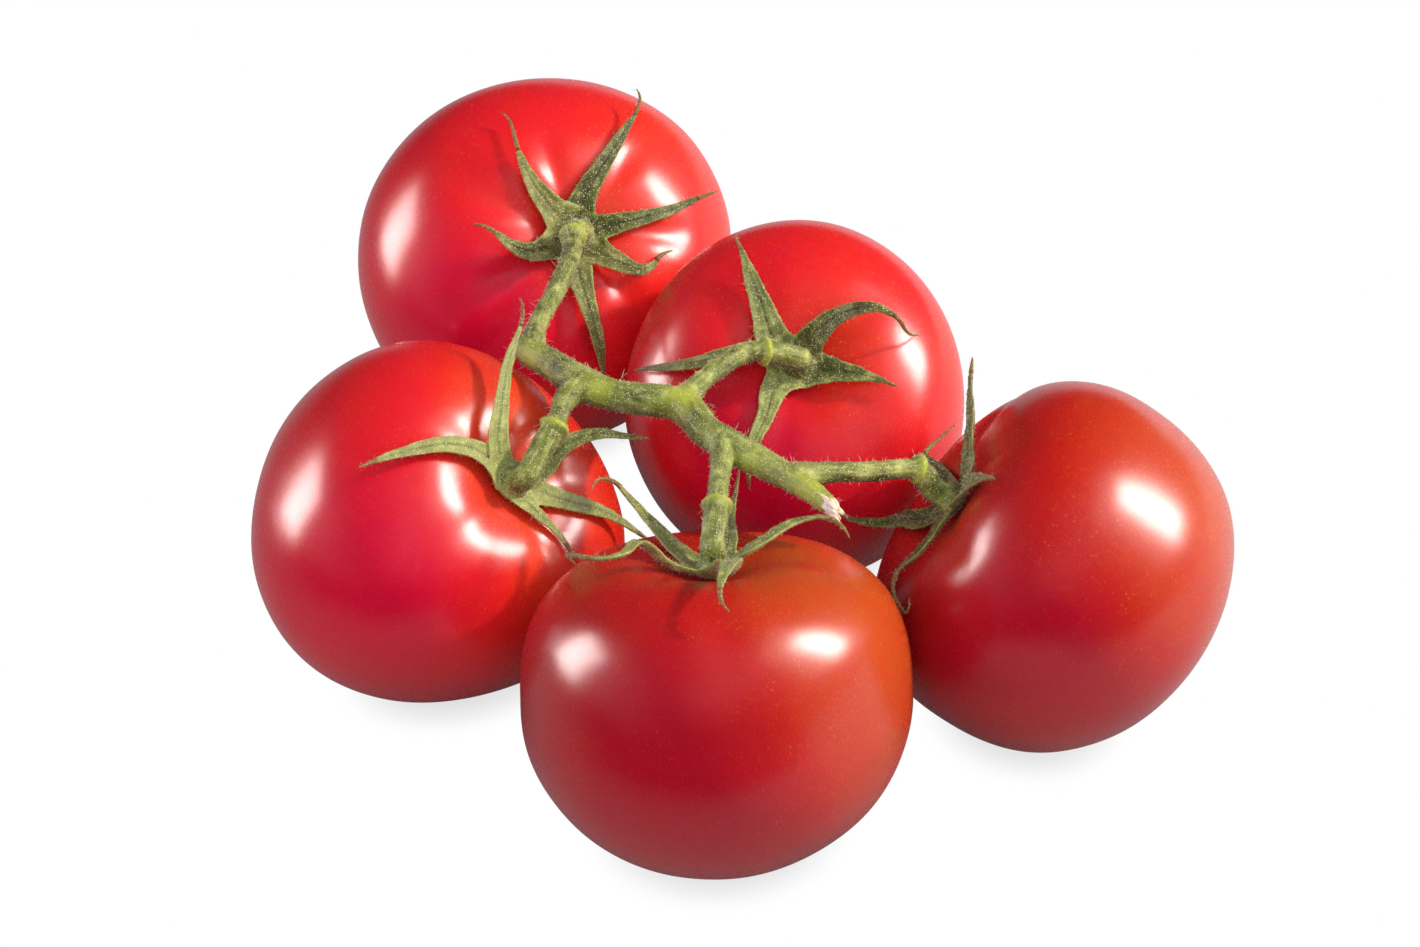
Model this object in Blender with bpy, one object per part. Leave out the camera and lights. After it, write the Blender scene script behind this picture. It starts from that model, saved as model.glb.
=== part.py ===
"""A truss of five ripe tomatoes on one branching green stem, lying on a flat surface.

The constants are in millimetres and degrees. +X is the viewer's right, +Y points away from the viewer
and +Z is up. The tomatoes rest on z = 0, each on a small flat spot. Each calyx lies in the hollow at the
stem end of its tomato, and the stem runs over the tomatoes with a side stem down to each calyx.
"""

import math
from typing import NamedTuple

import bmesh
import bpy
from mathutils import Matrix, Vector

MM = 0.001

# Shift of the whole layout, so that the origin is under the middle of its bounding box
SHIFT = Vector((-5.12, 5.79, 0.0))

# Tomatoes
AROUND = 36
RINGS = 20
RING_CROWDING = 1.3
HOLLOW_DEPTH = 0.16
HOLLOW_WIDTH = 0.34
BLOSSOM_DEPTH = 0.03
BLOSSOM_WIDTH = 0.30
RIB_CENTRE = 0.46
RIB_WIDTH = 0.20
REST_DEPTH = 0.4

# Calyxes
GAP = 0.4
SKIN_CLEARANCE = 0.7
HUB_RADIUS = 3.6
HUB_THICKNESS = 2.2
BLADE_THICKNESS = 1.0
EDGE_THICKNESS = 0.6
TIP_WIDTH = 0.9
ROOT_RADIUS = 2.7
BLADE_STATIONS = 10

# Stem
SIDES_LEVEL = 3
STEPS = 4
SIDE_RADIUS = 1.75
KNUCKLE_RADIUS = 2.4
PAST_KNUCKLE_RADIUS = 2.1
KNUCKLE_HALF_LENGTH = 1.5
END_RISE = 3.0
FIBRE_LENGTH = 7.0


class Fruit(NamedTuple):
    """One tomato: where its centre is, how it leans, and its shape in shares of its radius."""

    place: tuple
    lean: float
    lean_toward: float
    radius: float
    top: float
    bottom: float
    top_fullness: float
    bottom_fullness: float
    oval: tuple
    three_sided: tuple
    ribs: int
    rib_depth: float
    rib_turn: float


class Sepal(NamedTuple):
    """One blade: length, width at the root, and its heading and climb at five points from root to tip."""

    length: float
    width: float
    heading: tuple
    climb: tuple


FRUITS = {
    "back_left": Fruit(
        (-30.9, 57.3), 45.3, -67.3, 34.8, 0.78, 0.84, 2.07, 1.90, (0.0, 0.029), (-0.004, 0.013), 7, 0.9, 12
    ),
    "back_right": Fruit(
        (15.5, 14.2), 36.4, -90.7, 31.4, 0.81, 0.89, 2.44, 2.33,
        (-0.027, -0.004), (-0.008, -0.003), 5, 0.5, 40
    ),
    "left": Fruit(
        (-47.8, -22.6), 44.9, -32.4, 32.4, 0.83, 0.88, 2.21, 2.18, (0.022, 0.019), (0.037, 0.002), 5, 0.6, 25
    ),
    "front": Fruit(
        (1.1, -67.8), 22.6, 93.5, 33.1, 0.82, 0.876, 2.87, 2.00, (-0.006, 0.016), (0.001, 0.014), 5, 0.4, 10
    ),
    "right": Fruit(
        (59.0, -36.4), 54.0, 171.5, 32.1, 0.79, 0.88, 2.57, 2.25, (0.018, -0.01), (-0.017, 0.014), 5, 0.6, 60
    ),
}

# Headings turn round the tomato's own axis, and climbs are above the plane square to that axis
SEPALS = {
    "back_left": (
        Sepal(26, 4.8, (145, 140, 120, 105, 105), (25, 5, -5, -25, -35)),
        Sepal(30, 5.4, (90, 65, 65, 65, 90), (20, 5, -10, -15, -25)),
        Sepal(27, 4.6, (25, 20, 25, 35, 25), (30, 5, -15, -15, 10)),
        Sepal(20, 4.8, (-35, -25, -10, 65, 20), (30, 20, -5, -10, -25)),
        Sepal(27, 4.6, (-85, -70, -65, -65, -50), (20, 10, 0, -30, -60)),
        Sepal(20, 4.9, (215, 215, 170, 145, 180), (25, 15, 10, 10, -20)),
    ),
    "back_right": (
        Sepal(25, 5.4, (140, 105, 110, 105, 115), (30, 10, -5, -15, -5)),
        Sepal(31, 5.2, (60, 25, -5, -45, 75), (35, 35, 20, -65, -55)),
        Sepal(16, 5.6, (-15, -15, -15, -15, -25), (15, 20, 10, 0, -10)),
        Sepal(24, 5.0, (225, 260, 245, 260, 275), (20, 15, 15, -15, -70)),
        Sepal(31, 4.2, (160, 195, 190, 170, 160), (35, 10, -20, -35, -60)),
    ),
    "left": (
        Sepal(33, 4.0, (150, 100, 90, 85, 120), (40, 15, -5, 5, 25)),
        Sepal(31, 4.4, (165, 190, 210, 215, 225), (25, 5, -15, -15, 15)),
        Sepal(24, 4.2, (40, 70, 30, 5, 10), (20, 40, 40, 25, 25)),
        Sepal(27, 4.0, (0, 5, 10, 0, -15), (15, 5, -5, -15, 5)),
        Sepal(15, 2.4, (-40, -25, -20, -35, -40), (25, 10, 5, -5, -10)),
    ),
    "front": (
        Sepal(31, 4.6, (145, 120, 125, 160, 280), (15, 15, 25, 50, -35)),
        Sepal(39, 3.6, (195, 235, 255, 150, 45), (5, 45, -10, 5, -45)),
        Sepal(29, 3.4, (65, 85, 90, 80, 70), (30, 10, -5, 30, 70)),
        Sepal(29, 4.4, (-85, 0, 45, 15, -60), (30, 30, 20, 10, -50)),
        Sepal(29, 4.2, (-70, -80, -95, -105, -70), (30, 25, 10, -20, -50)),
    ),
    "right": (
        Sepal(31, 3.6, (-35, 85, 85, 70, 20), (30, 10, 0, 20, 30)),
        Sepal(29, 3.0, (90, 110, 115, 80, 30), (20, 10, 5, -25, -15)),
        Sepal(16, 3.8, (-45, -40, -35, -40, -50), (35, 15, 5, -5, -15)),
        Sepal(25, 4.2, (180, 130, 135, 165, 150), (20, 10, 0, 45, 80)),
        Sepal(29, 3.6, (270, 225, 180, 265, 335), (25, 5, 10, -45, 45)),
    ),
}

# Middle line of the main stem from its elbow to its torn end, each point with its radius
MAIN_STEM = (
    ((-31.4, -4.8, 55.6), 2.6),
    ((-26.7, -10.0, 56.2), 2.7),
    ((-22.0, -15.4, 56.6), 3.1),
    ((-15.5, -18.6, 56.4), 2.7),
    ((-5.2, -20.4, 56.0), 3.0),
    ((5.1, -33.0, 55.6), 2.8),
    ((15.2, -42.3, 55.8), 2.4),
    ((19.3, -47.6, 56.0), 2.1),
)

# Middle lines of the side stems from the main stem to the calyx, and which of their points is the knuckle
SIDE_STEMS = {
    "back_left": (
        (-31.4, -4.8, 55.6), (-30.2, 2.9, 55.8), (-27.6, 14.5, 55.2), (-25.6, 25.5, 53.9), (-24.7, 34.4, 52.4)
    ),
    "back_right": ((-5.2, -20.4, 56.0), (-0.6, -12.6, 56.0), (5.2, -5.4, 55.3), (9.4, -3.2, 54.6)),
    "left": ((-22.4, -15.8, 56.6), (-25.1, -20.5, 56.6), (-26.6, -26.0, 55.6)),
    "front": ((2.6, -31.4, 55.6), (1.7, -40.3, 56.2), (1.2, -49.2, 56.6)),
    "right": ((14.0, -40.6, 55.7), (20.3, -38.2, 55.3), (28.0, -36.2, 54.1), (35.2, -33.0, 52.0)),
}
KNUCKLE_POINT = {"back_left": 4, "back_right": 3, "left": 2, "front": 2, "right": 3}

# Torn fibres: sideways and upward offset, length as a share of the longest, and radius at the root
FIBRES = (
    (0.0, 0.0, 0.72, 1.1),
    (0.9, 0.3, 0.85, 0.8),
    (-0.9, 0.4, 0.62, 0.8),
    (0.4, -0.9, 1.0, 0.7),
    (-0.6, -0.8, 0.9, 0.7),
    (0.1, 1.0, 0.5, 0.8),
)

COLOURS = {
    "tomato": ((0.62, 0.018, 0.022, 1.0), 0.22),
    "calyx": ((0.165, 0.205, 0.045, 1.0), 0.65),
    "stem": ((0.205, 0.235, 0.06, 1.0), 0.6),
    "fibre": ((0.78, 0.69, 0.50, 1.0), 0.85),
}


def clear_scene():
    """Removes every object of the startup scene."""
    for obj in list(bpy.data.objects):
        bpy.data.objects.remove(obj, do_unlink=True)


def new_collection(name, helper=False):
    """Makes a collection in the scene; one for helpers is left out of the render."""
    made = bpy.data.collections.new(name)
    made.hide_render = helper
    bpy.context.scene.collection.children.link(made)
    return made


def material_for(name, kind):
    """Makes a material of its own for one body, with the colour and roughness of its kind."""
    colour, roughness = COLOURS[kind]
    material = bpy.data.materials.new(name)
    material.use_nodes = True
    shader = material.node_tree.nodes["Principled BSDF"]
    shader.inputs["Base Color"].default_value = colour
    shader.inputs["Roughness"].default_value = roughness
    shader.inputs["Metallic"].default_value = 0.0
    material.diffuse_color = colour
    return material


def object_from(bm, name, collection):
    """Turns a bmesh into an object of the collection, with its faces turned outwards."""
    bmesh.ops.recalc_face_normals(bm, faces=bm.faces)
    mesh = bpy.data.meshes.new(name)
    bm.to_mesh(mesh)
    bm.free()
    made = bpy.data.objects.new(name, mesh)
    collection.objects.link(made)
    return made


def baked(obj, modifiers):
    """Replaces the object's mesh by the one its modifiers give, and takes them off."""
    graph = bpy.context.evaluated_depsgraph_get()
    mesh = bpy.data.meshes.new_from_object(obj.evaluated_get(graph))
    for modifier in modifiers:
        obj.modifiers.remove(modifier)
    obj.data = mesh
    return obj


def joined(obj, collection):
    """Joins every body of the collection to the object, and removes them from the scene."""
    union = obj.modifiers.new("join", "BOOLEAN")
    union.operation = "UNION"
    union.operand_type = "COLLECTION"
    union.collection = collection
    union.solver = "EXACT"
    baked(obj, [union])
    for piece in list(collection.objects):
        bpy.data.objects.remove(piece, do_unlink=True)
    return obj


def finish(obj, name, kind):
    """Names a body, gives it its material and smooths it between its sharp edges."""
    obj.name = name
    obj.data.name = name
    obj.data.materials.clear()
    obj.data.materials.append(material_for(name, kind))
    obj.data.shade_smooth()
    obj.data.set_sharp_from_angle(angle=math.radians(50))
    return obj


def leaning(fruit):
    """Rotation that tips the tomato's axis from upright by its lean, without turning it about that axis."""
    turn = math.radians(fruit.lean_toward)
    tip = Matrix.Rotation(math.radians(fruit.lean), 3, "Y")
    return Matrix.Rotation(turn, 3, "Z") @ tip @ Matrix.Rotation(-turn, 3, "Z")


def skin_height(fruit, out, height):
    """Height of the skin at a distance out from the axis, with the stem hollow and blossom dent taken off."""
    if height >= 0.0:
        return fruit.top * height - HOLLOW_DEPTH * math.exp(-((out / HOLLOW_WIDTH) ** 2))
    return fruit.bottom * height + BLOSSOM_DEPTH * math.exp(-((out / BLOSSOM_WIDTH) ** 2))


def skin_point(fruit, polar, around):
    """Point of the skin in the tomato's own frame, at an angle down from its stem end and one round it."""
    fullness = fruit.top_fullness if polar < math.pi / 2 else fruit.bottom_fullness
    out = abs(math.sin(polar)) ** (2 / fullness)
    height = math.copysign(abs(math.cos(polar)) ** (2 / fullness), math.cos(polar))
    lobes = 1.0 + fruit.oval[0] * math.cos(2 * around) + fruit.oval[1] * math.sin(2 * around)
    lobes += fruit.three_sided[0] * math.cos(3 * around) + fruit.three_sided[1] * math.sin(3 * around)
    up = fruit.radius * skin_height(fruit, out, height)
    if polar < math.pi / 2:
        crease = (0.5 + 0.5 * math.cos(fruit.ribs * (around - math.radians(fruit.rib_turn)))) ** 3
        up -= fruit.rib_depth * crease * math.exp(-(((out - RIB_CENTRE) / RIB_WIDTH) ** 2))
    side = fruit.radius * out * lobes
    return Vector((side * math.cos(around), side * math.sin(around), up))


def tomato(name, fruit, parts, helpers):
    """Builds one tomato resting on z = 0, and returns it with the place of its centre in millimetres."""
    bm = bmesh.new()
    bmesh.ops.create_uvsphere(bm, u_segments=AROUND, v_segments=RINGS, radius=1.0)
    rotation = leaning(fruit)
    for vertex in bm.verts:
        polar = math.acos(max(-1.0, min(1.0, vertex.co.z)))
        polar = math.pi * (polar / math.pi) ** RING_CROWDING
        around = math.atan2(vertex.co.y, vertex.co.x)
        vertex.co = rotation @ skin_point(fruit, polar, around)
    lowest = min(vertex.co.z for vertex in bm.verts)
    centre = Vector((fruit.place[0], fruit.place[1], -lowest - REST_DEPTH)) + SHIFT
    for vertex in bm.verts:
        vertex.co = (vertex.co + centre) * MM
    body = object_from(bm, name, parts)
    floor_bm = bmesh.new()
    below = Matrix.Translation((centre.x * MM, centre.y * MM, -0.05)) @ Matrix.Scale(0.1, 4)
    bmesh.ops.create_cube(floor_bm, size=1.0, matrix=below)
    floor = object_from(floor_bm, name + "_floor", helpers)
    floor.hide_render = True
    floor.display_type = "WIRE"
    cut = body.modifiers.new("rest", "BOOLEAN")
    cut.operation = "DIFFERENCE"
    cut.object = floor
    cut.solver = "EXACT"
    baked(body, [cut])
    bpy.data.objects.remove(floor, do_unlink=True)
    finish(body, name, "tomato")
    return centre


def between(values, share):
    """Value at a share of the way along evenly spaced values."""
    place = share * (len(values) - 1)
    first = min(int(place), len(values) - 2)
    return values[first] + (values[first + 1] - values[first]) * (place - first)


def hub_height(fruit):
    """Height of the middle of the calyx hub in the tomato's own frame."""
    return fruit.radius * (fruit.top - HOLLOW_DEPTH) + SKIN_CLEARANCE + 0.5 * HUB_THICKNESS


def direction(sepal, share):
    """Direction of a blade's middle line at a share of its length, and the direction across the blade."""
    heading = math.radians(between(sepal.heading, share))
    climb = math.radians(between(sepal.climb, share))
    level = Vector((math.cos(heading), math.sin(heading), 0.0))
    ahead = math.cos(climb) * level + Vector((0.0, 0.0, math.sin(climb)))
    return ahead, Vector((-math.sin(heading), math.cos(heading), 0.0))


def blade_sections(fruit, sepal):
    """Six corners of each cross-section of a blade, from root to tip, in the tomato's own frame."""
    sections = []
    heading = math.radians(sepal.heading[0])
    place = Vector((ROOT_RADIUS * math.cos(heading), ROOT_RADIUS * math.sin(heading), hub_height(fruit)))
    steps = BLADE_STATIONS - 1
    for station in range(BLADE_STATIONS):
        share = station / steps
        ahead, side = direction(sepal, share)
        normal = ahead.cross(side)
        across = side * max(0.5 * sepal.width * (1.0 - share) ** 0.9, 0.5 * TIP_WIDTH)
        edge = 0.5 * EDGE_THICKNESS * normal
        middle = 0.5 * BLADE_THICKNESS * normal
        upper = [place - across + edge, place + middle, place + across + edge]
        lower = [place + across - edge, place - middle, place - across - edge]
        sections.append(upper + lower)
        if station < steps:
            place = place + direction(sepal, share + 0.5 / steps)[0] * (sepal.length / steps)
    return sections


def blade(name, fruit, sepal, collection, to_world):
    """Builds one sepal as a closed blade through its cross-sections."""
    bm = bmesh.new()
    rows = []
    for section in blade_sections(fruit, sepal):
        rows.append([bm.verts.new(to_world(corner)) for corner in section])
    count = len(rows[0])
    for first, second in zip(rows, rows[1:]):
        for k in range(count):
            after = (k + 1) % count
            if k < 3:
                bm.faces.new((first[k], second[k], second[after]))
                bm.faces.new((first[k], second[after], first[after]))
            else:
                bm.faces.new((first[k], second[k], first[after]))
                bm.faces.new((second[k], second[after], first[after]))
    for row in (rows[0], rows[-1]):
        bm.faces.new((row[0], row[1], row[4], row[5]))
        bm.faces.new((row[1], row[2], row[3], row[4]))
    return object_from(bm, name, collection)


def calyx(name, fruit, sepals, centre, parts, helpers):
    """Builds one green star: a flat hub with its sepals joined to it."""
    rotation = leaning(fruit)

    def to_world(point):
        return (rotation @ point + centre) * MM

    bm = bmesh.new()
    bmesh.ops.create_uvsphere(bm, u_segments=14, v_segments=8, radius=1.0)
    for vertex in bm.verts:
        flat = Vector((vertex.co.x * HUB_RADIUS, vertex.co.y * HUB_RADIUS, vertex.co.z * 0.5 * HUB_THICKNESS))
        vertex.co = to_world(flat + Vector((0.0, 0.0, hub_height(fruit))))
    hub = object_from(bm, name, parts)
    for number, sepal in enumerate(sepals):
        blade(f"{name}_blade_{number}", fruit, sepal, helpers, to_world)
    finish(joined(hub, helpers), name, "calyx")


def tube(name, points, collection):
    """Builds a rounded stem through points, each with its radius, as a closed mesh in metres."""
    curve = bpy.data.curves.new(name, "CURVE")
    curve.dimensions = "3D"
    curve.resolution_u = STEPS
    curve.bevel_depth = MM
    curve.bevel_resolution = SIDES_LEVEL
    curve.use_fill_caps = True
    spline = curve.splines.new("BEZIER")
    spline.bezier_points.add(len(points) - 1)
    for knot, (place, radius) in zip(spline.bezier_points, points):
        knot.co = (Vector(place) + SHIFT) * MM
        knot.radius = radius
        knot.handle_left_type = "AUTO"
        knot.handle_right_type = "AUTO"
    made = bpy.data.objects.new(name, curve)
    collection.objects.link(made)
    graph = bpy.context.evaluated_depsgraph_get()
    mesh = bpy.data.meshes.new_from_object(made.evaluated_get(graph))
    bpy.data.objects.remove(made, do_unlink=True)
    bm = bmesh.new()
    bm.from_mesh(mesh)
    bmesh.ops.remove_doubles(bm, verts=bm.verts, dist=0.00001)
    return object_from(bm, name, collection)


def stem_end(fruit, centre, over=0.0):
    """Point just over the calyx hub, on the tomato's axis, in millimetres before the shift of the layout."""
    height = hub_height(fruit) + 0.5 * HUB_THICKNESS + GAP + over
    return leaning(fruit) @ Vector((0.0, 0.0, height)) + centre - SHIFT


def side_stem(place, centre, collection):
    """Builds one side stem with the swollen knuckle where a ripe fruit breaks off."""
    line = [Vector(point) for point in SIDE_STEMS[place]]
    knuckle = KNUCKLE_POINT[place]
    points = []
    for number, point in enumerate(line):
        if number != knuckle:
            points.append((point, SIDE_RADIUS))
            continue
        past = line[number + 1] if number + 1 < len(line) else stem_end(FRUITS[place], centre)
        ahead = past - line[number - 1]
        ahead.normalize()
        points.append((point - KNUCKLE_HALF_LENGTH * ahead, SIDE_RADIUS))
        points.append((point, KNUCKLE_RADIUS))
        points.append((point + KNUCKLE_HALF_LENGTH * ahead, PAST_KNUCKLE_RADIUS))
    points.append((stem_end(FRUITS[place], centre, END_RISE), PAST_KNUCKLE_RADIUS))
    points.append((stem_end(FRUITS[place], centre), PAST_KNUCKLE_RADIUS))
    return tube("side_stem_" + place, points, collection)


def truss_stem(centres, parts, helpers):
    """Builds the main stem with its five side stems as one body."""
    body = tube("truss_stem", MAIN_STEM, parts)
    for place, centre in centres.items():
        side_stem(place, centre, helpers)
    finish(joined(body, helpers), "truss_stem", "stem")


def torn_end(parts, helpers):
    """Builds the dry fibres that stand out of the torn end of the main stem."""
    start = Vector(MAIN_STEM[-1][0])
    ahead = (start - Vector(MAIN_STEM[-2][0])).normalized()
    across = ahead.cross(Vector((0.0, 0.0, 1.0))).normalized()
    upward = across.cross(ahead)
    body = None
    for number, (sideways, up, share, radius) in enumerate(FIBRES):
        root = start + GAP * ahead + sideways * across + up * upward
        spread = 0.35 * (sideways * across + up * upward)
        tip = root + share * FIBRE_LENGTH * ahead + spread
        middle = root + 0.5 * share * FIBRE_LENGTH * ahead + 0.2 * spread
        line = ((root, radius), (middle, 0.75 * radius), (tip, 0.3 * radius))
        made = tube(f"fibre_{number}", line, parts if body is None else helpers)
        body = body or made
    finish(joined(body, helpers), "torn_end", "fibre")


def main():
    """Builds the whole truss."""
    clear_scene()
    parts = new_collection("truss_of_tomatoes")
    helpers = new_collection("helpers", helper=True)
    centres = {}
    for place, fruit in FRUITS.items():
        centres[place] = tomato("tomato_" + place, fruit, parts, helpers)
        calyx("calyx_" + place, fruit, SEPALS[place], centres[place], parts, helpers)
    truss_stem(centres, parts, helpers)
    torn_end(parts, helpers)


main()
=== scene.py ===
"""Looks of a truss of five ripe tomatoes on one green stem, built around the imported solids.

Lengths are in millimetres and angles in degrees until a mesh is made. The layout is that of the solids: +X is the
viewer's right, +Y points away from the viewer, +Z is up, and the tomatoes rest on z = 0.
"""

import logging
import math
from dataclasses import dataclass, field
from enum import Enum

import bmesh
import bpy
import numpy as np
from mathutils import Matrix, Vector, kdtree, noise


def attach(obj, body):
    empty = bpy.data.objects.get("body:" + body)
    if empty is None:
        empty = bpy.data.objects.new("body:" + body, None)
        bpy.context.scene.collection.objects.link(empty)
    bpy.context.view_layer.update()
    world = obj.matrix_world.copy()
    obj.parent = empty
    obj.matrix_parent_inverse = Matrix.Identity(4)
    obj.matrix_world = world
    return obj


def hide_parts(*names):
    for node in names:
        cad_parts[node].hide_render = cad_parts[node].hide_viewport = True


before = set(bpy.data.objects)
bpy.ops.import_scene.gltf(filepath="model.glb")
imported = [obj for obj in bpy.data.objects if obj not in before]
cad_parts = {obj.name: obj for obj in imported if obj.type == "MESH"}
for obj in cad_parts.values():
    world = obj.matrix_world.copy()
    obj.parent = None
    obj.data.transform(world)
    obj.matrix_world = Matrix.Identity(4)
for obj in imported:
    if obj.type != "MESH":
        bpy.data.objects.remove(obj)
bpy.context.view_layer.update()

LOG = logging.getLogger("truss")

# A millimetre in metres, the photograph's width in pixels, and the seed of the random draws
MM = 0.001
IMAGE_WIDTH = 1420
SEED = 11

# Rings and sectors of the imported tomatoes, and how their rings crowd together at the stem end
SOLID_RINGS = 20
SOLID_SECTORS = 36
SOLID_CROWDING = 1.3

# Shift of the whole layout, so that the origin is under the middle of its bounding box
SHIFT = Vector((-5.12, 5.79, 0.0))

# Stem hollow, blossom end and ribs, in shares of a tomato's radius
HOLLOW_DEPTH = 0.16
HOLLOW_WIDTH = 0.34
BLOSSOM_DEPTH = 0.03
BLOSSOM_WIDTH = 0.30
RIB_CENTRE = 0.46
RIB_WIDTH = 0.20

# How deep a tomato is cut flat where it rests, the gap under its calyx and the calyx hub's thickness, in millimetres
REST_DEPTH = 0.4
SKIN_CLEARANCE = 0.7
HUB_THICKNESS = 2.2

# Angle at which the camera looks down, chosen to come near the photograph, and the picture's upward direction as its
# parts along +Y and +Z
VIEW_ELEVATION = 38.0
SIGHT_UP = (math.sin(math.radians(VIEW_ELEVATION)), math.cos(math.radians(VIEW_ELEVATION)))

# Points between two given ones where a stem's middle line is rounded
STEM_STEPS = 14

# Direction of the key light; the side of every tomato that faces it is painted more golden, as painted light
PAINTED_LIGHT_SIDE = (0.87, 0.05, 0.49)

# Side of every tomato that faces the dark front of the room, where the skin is painted a deeper crimson as painted
# shade and painted dark reflection
PAINTED_SHADE_SIDE = (-0.25, -0.92, 0.30)


class Place(Enum):
    """Where a tomato hangs on the truss, as the photograph shows it."""

    BACK_LEFT = "back_left"
    BACK_RIGHT = "back_right"
    LEFT = "left"
    FRONT = "front"
    RIGHT = "right"


class Slot(Enum):
    """Material slots of the record."""

    SKIN = "tomato_skin"
    CALYX = "calyx_green"
    STEM = "stem_green"
    FIBRE = "torn_fibre"


def linear(hex_colour: str) -> tuple[float, float, float, float]:
    """Turns an sRGB hex colour into linear light.

    Args:
        hex_colour: six hex digits after a hash sign.

    Returns:
        Red, green, blue and a full alpha.
    """
    shares = [int(hex_colour[k : k + 2], 16) / 255 for k in (1, 3, 5)]
    red, green, blue = (s / 12.92 if s <= 0.04045 else ((s + 0.055) / 1.055) ** 2.4 for s in shares)
    return red, green, blue, 1.0


def add(tree: bpy.types.NodeTree, kind: str, settings: dict | None = None, links: dict | None = None) -> bpy.types.Node:
    """Adds a node with its settings and links.

    Args:
        tree: the node tree that gets the node.
        kind: the node's type, without its ShaderNode prefix.
        settings: values by property name, or by the name or number of an input.
        links: the outputs that feed it, by the name or number of an input.

    Returns:
        The new node.
    """
    made = tree.nodes.new("ShaderNode" + kind)
    for key, value in (settings or {}).items():
        if isinstance(key, int) or key in made.inputs:
            made.inputs[key].default_value = value
        else:
            setattr(made, key, value)
    for key, source in (links or {}).items():
        tree.links.new(source, made.inputs[key])
    return made


def per_mm(size: float) -> float:
    """Pattern scale at which one cell is the given number of millimetres."""
    return 1.0 / (size * MM)


def blank_material(name: str) -> tuple[bpy.types.Material, bpy.types.NodeTree, bpy.types.Node]:
    """Makes a material with only an output.

    Args:
        name: the material's name.

    Returns:
        The material, its node tree and its output node.
    """
    material = bpy.data.materials.new(name)
    material.use_nodes = True
    tree = material.node_tree
    tree.nodes.clear()
    return material, tree, add(tree, "OutputMaterial")


# Finishes


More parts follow.
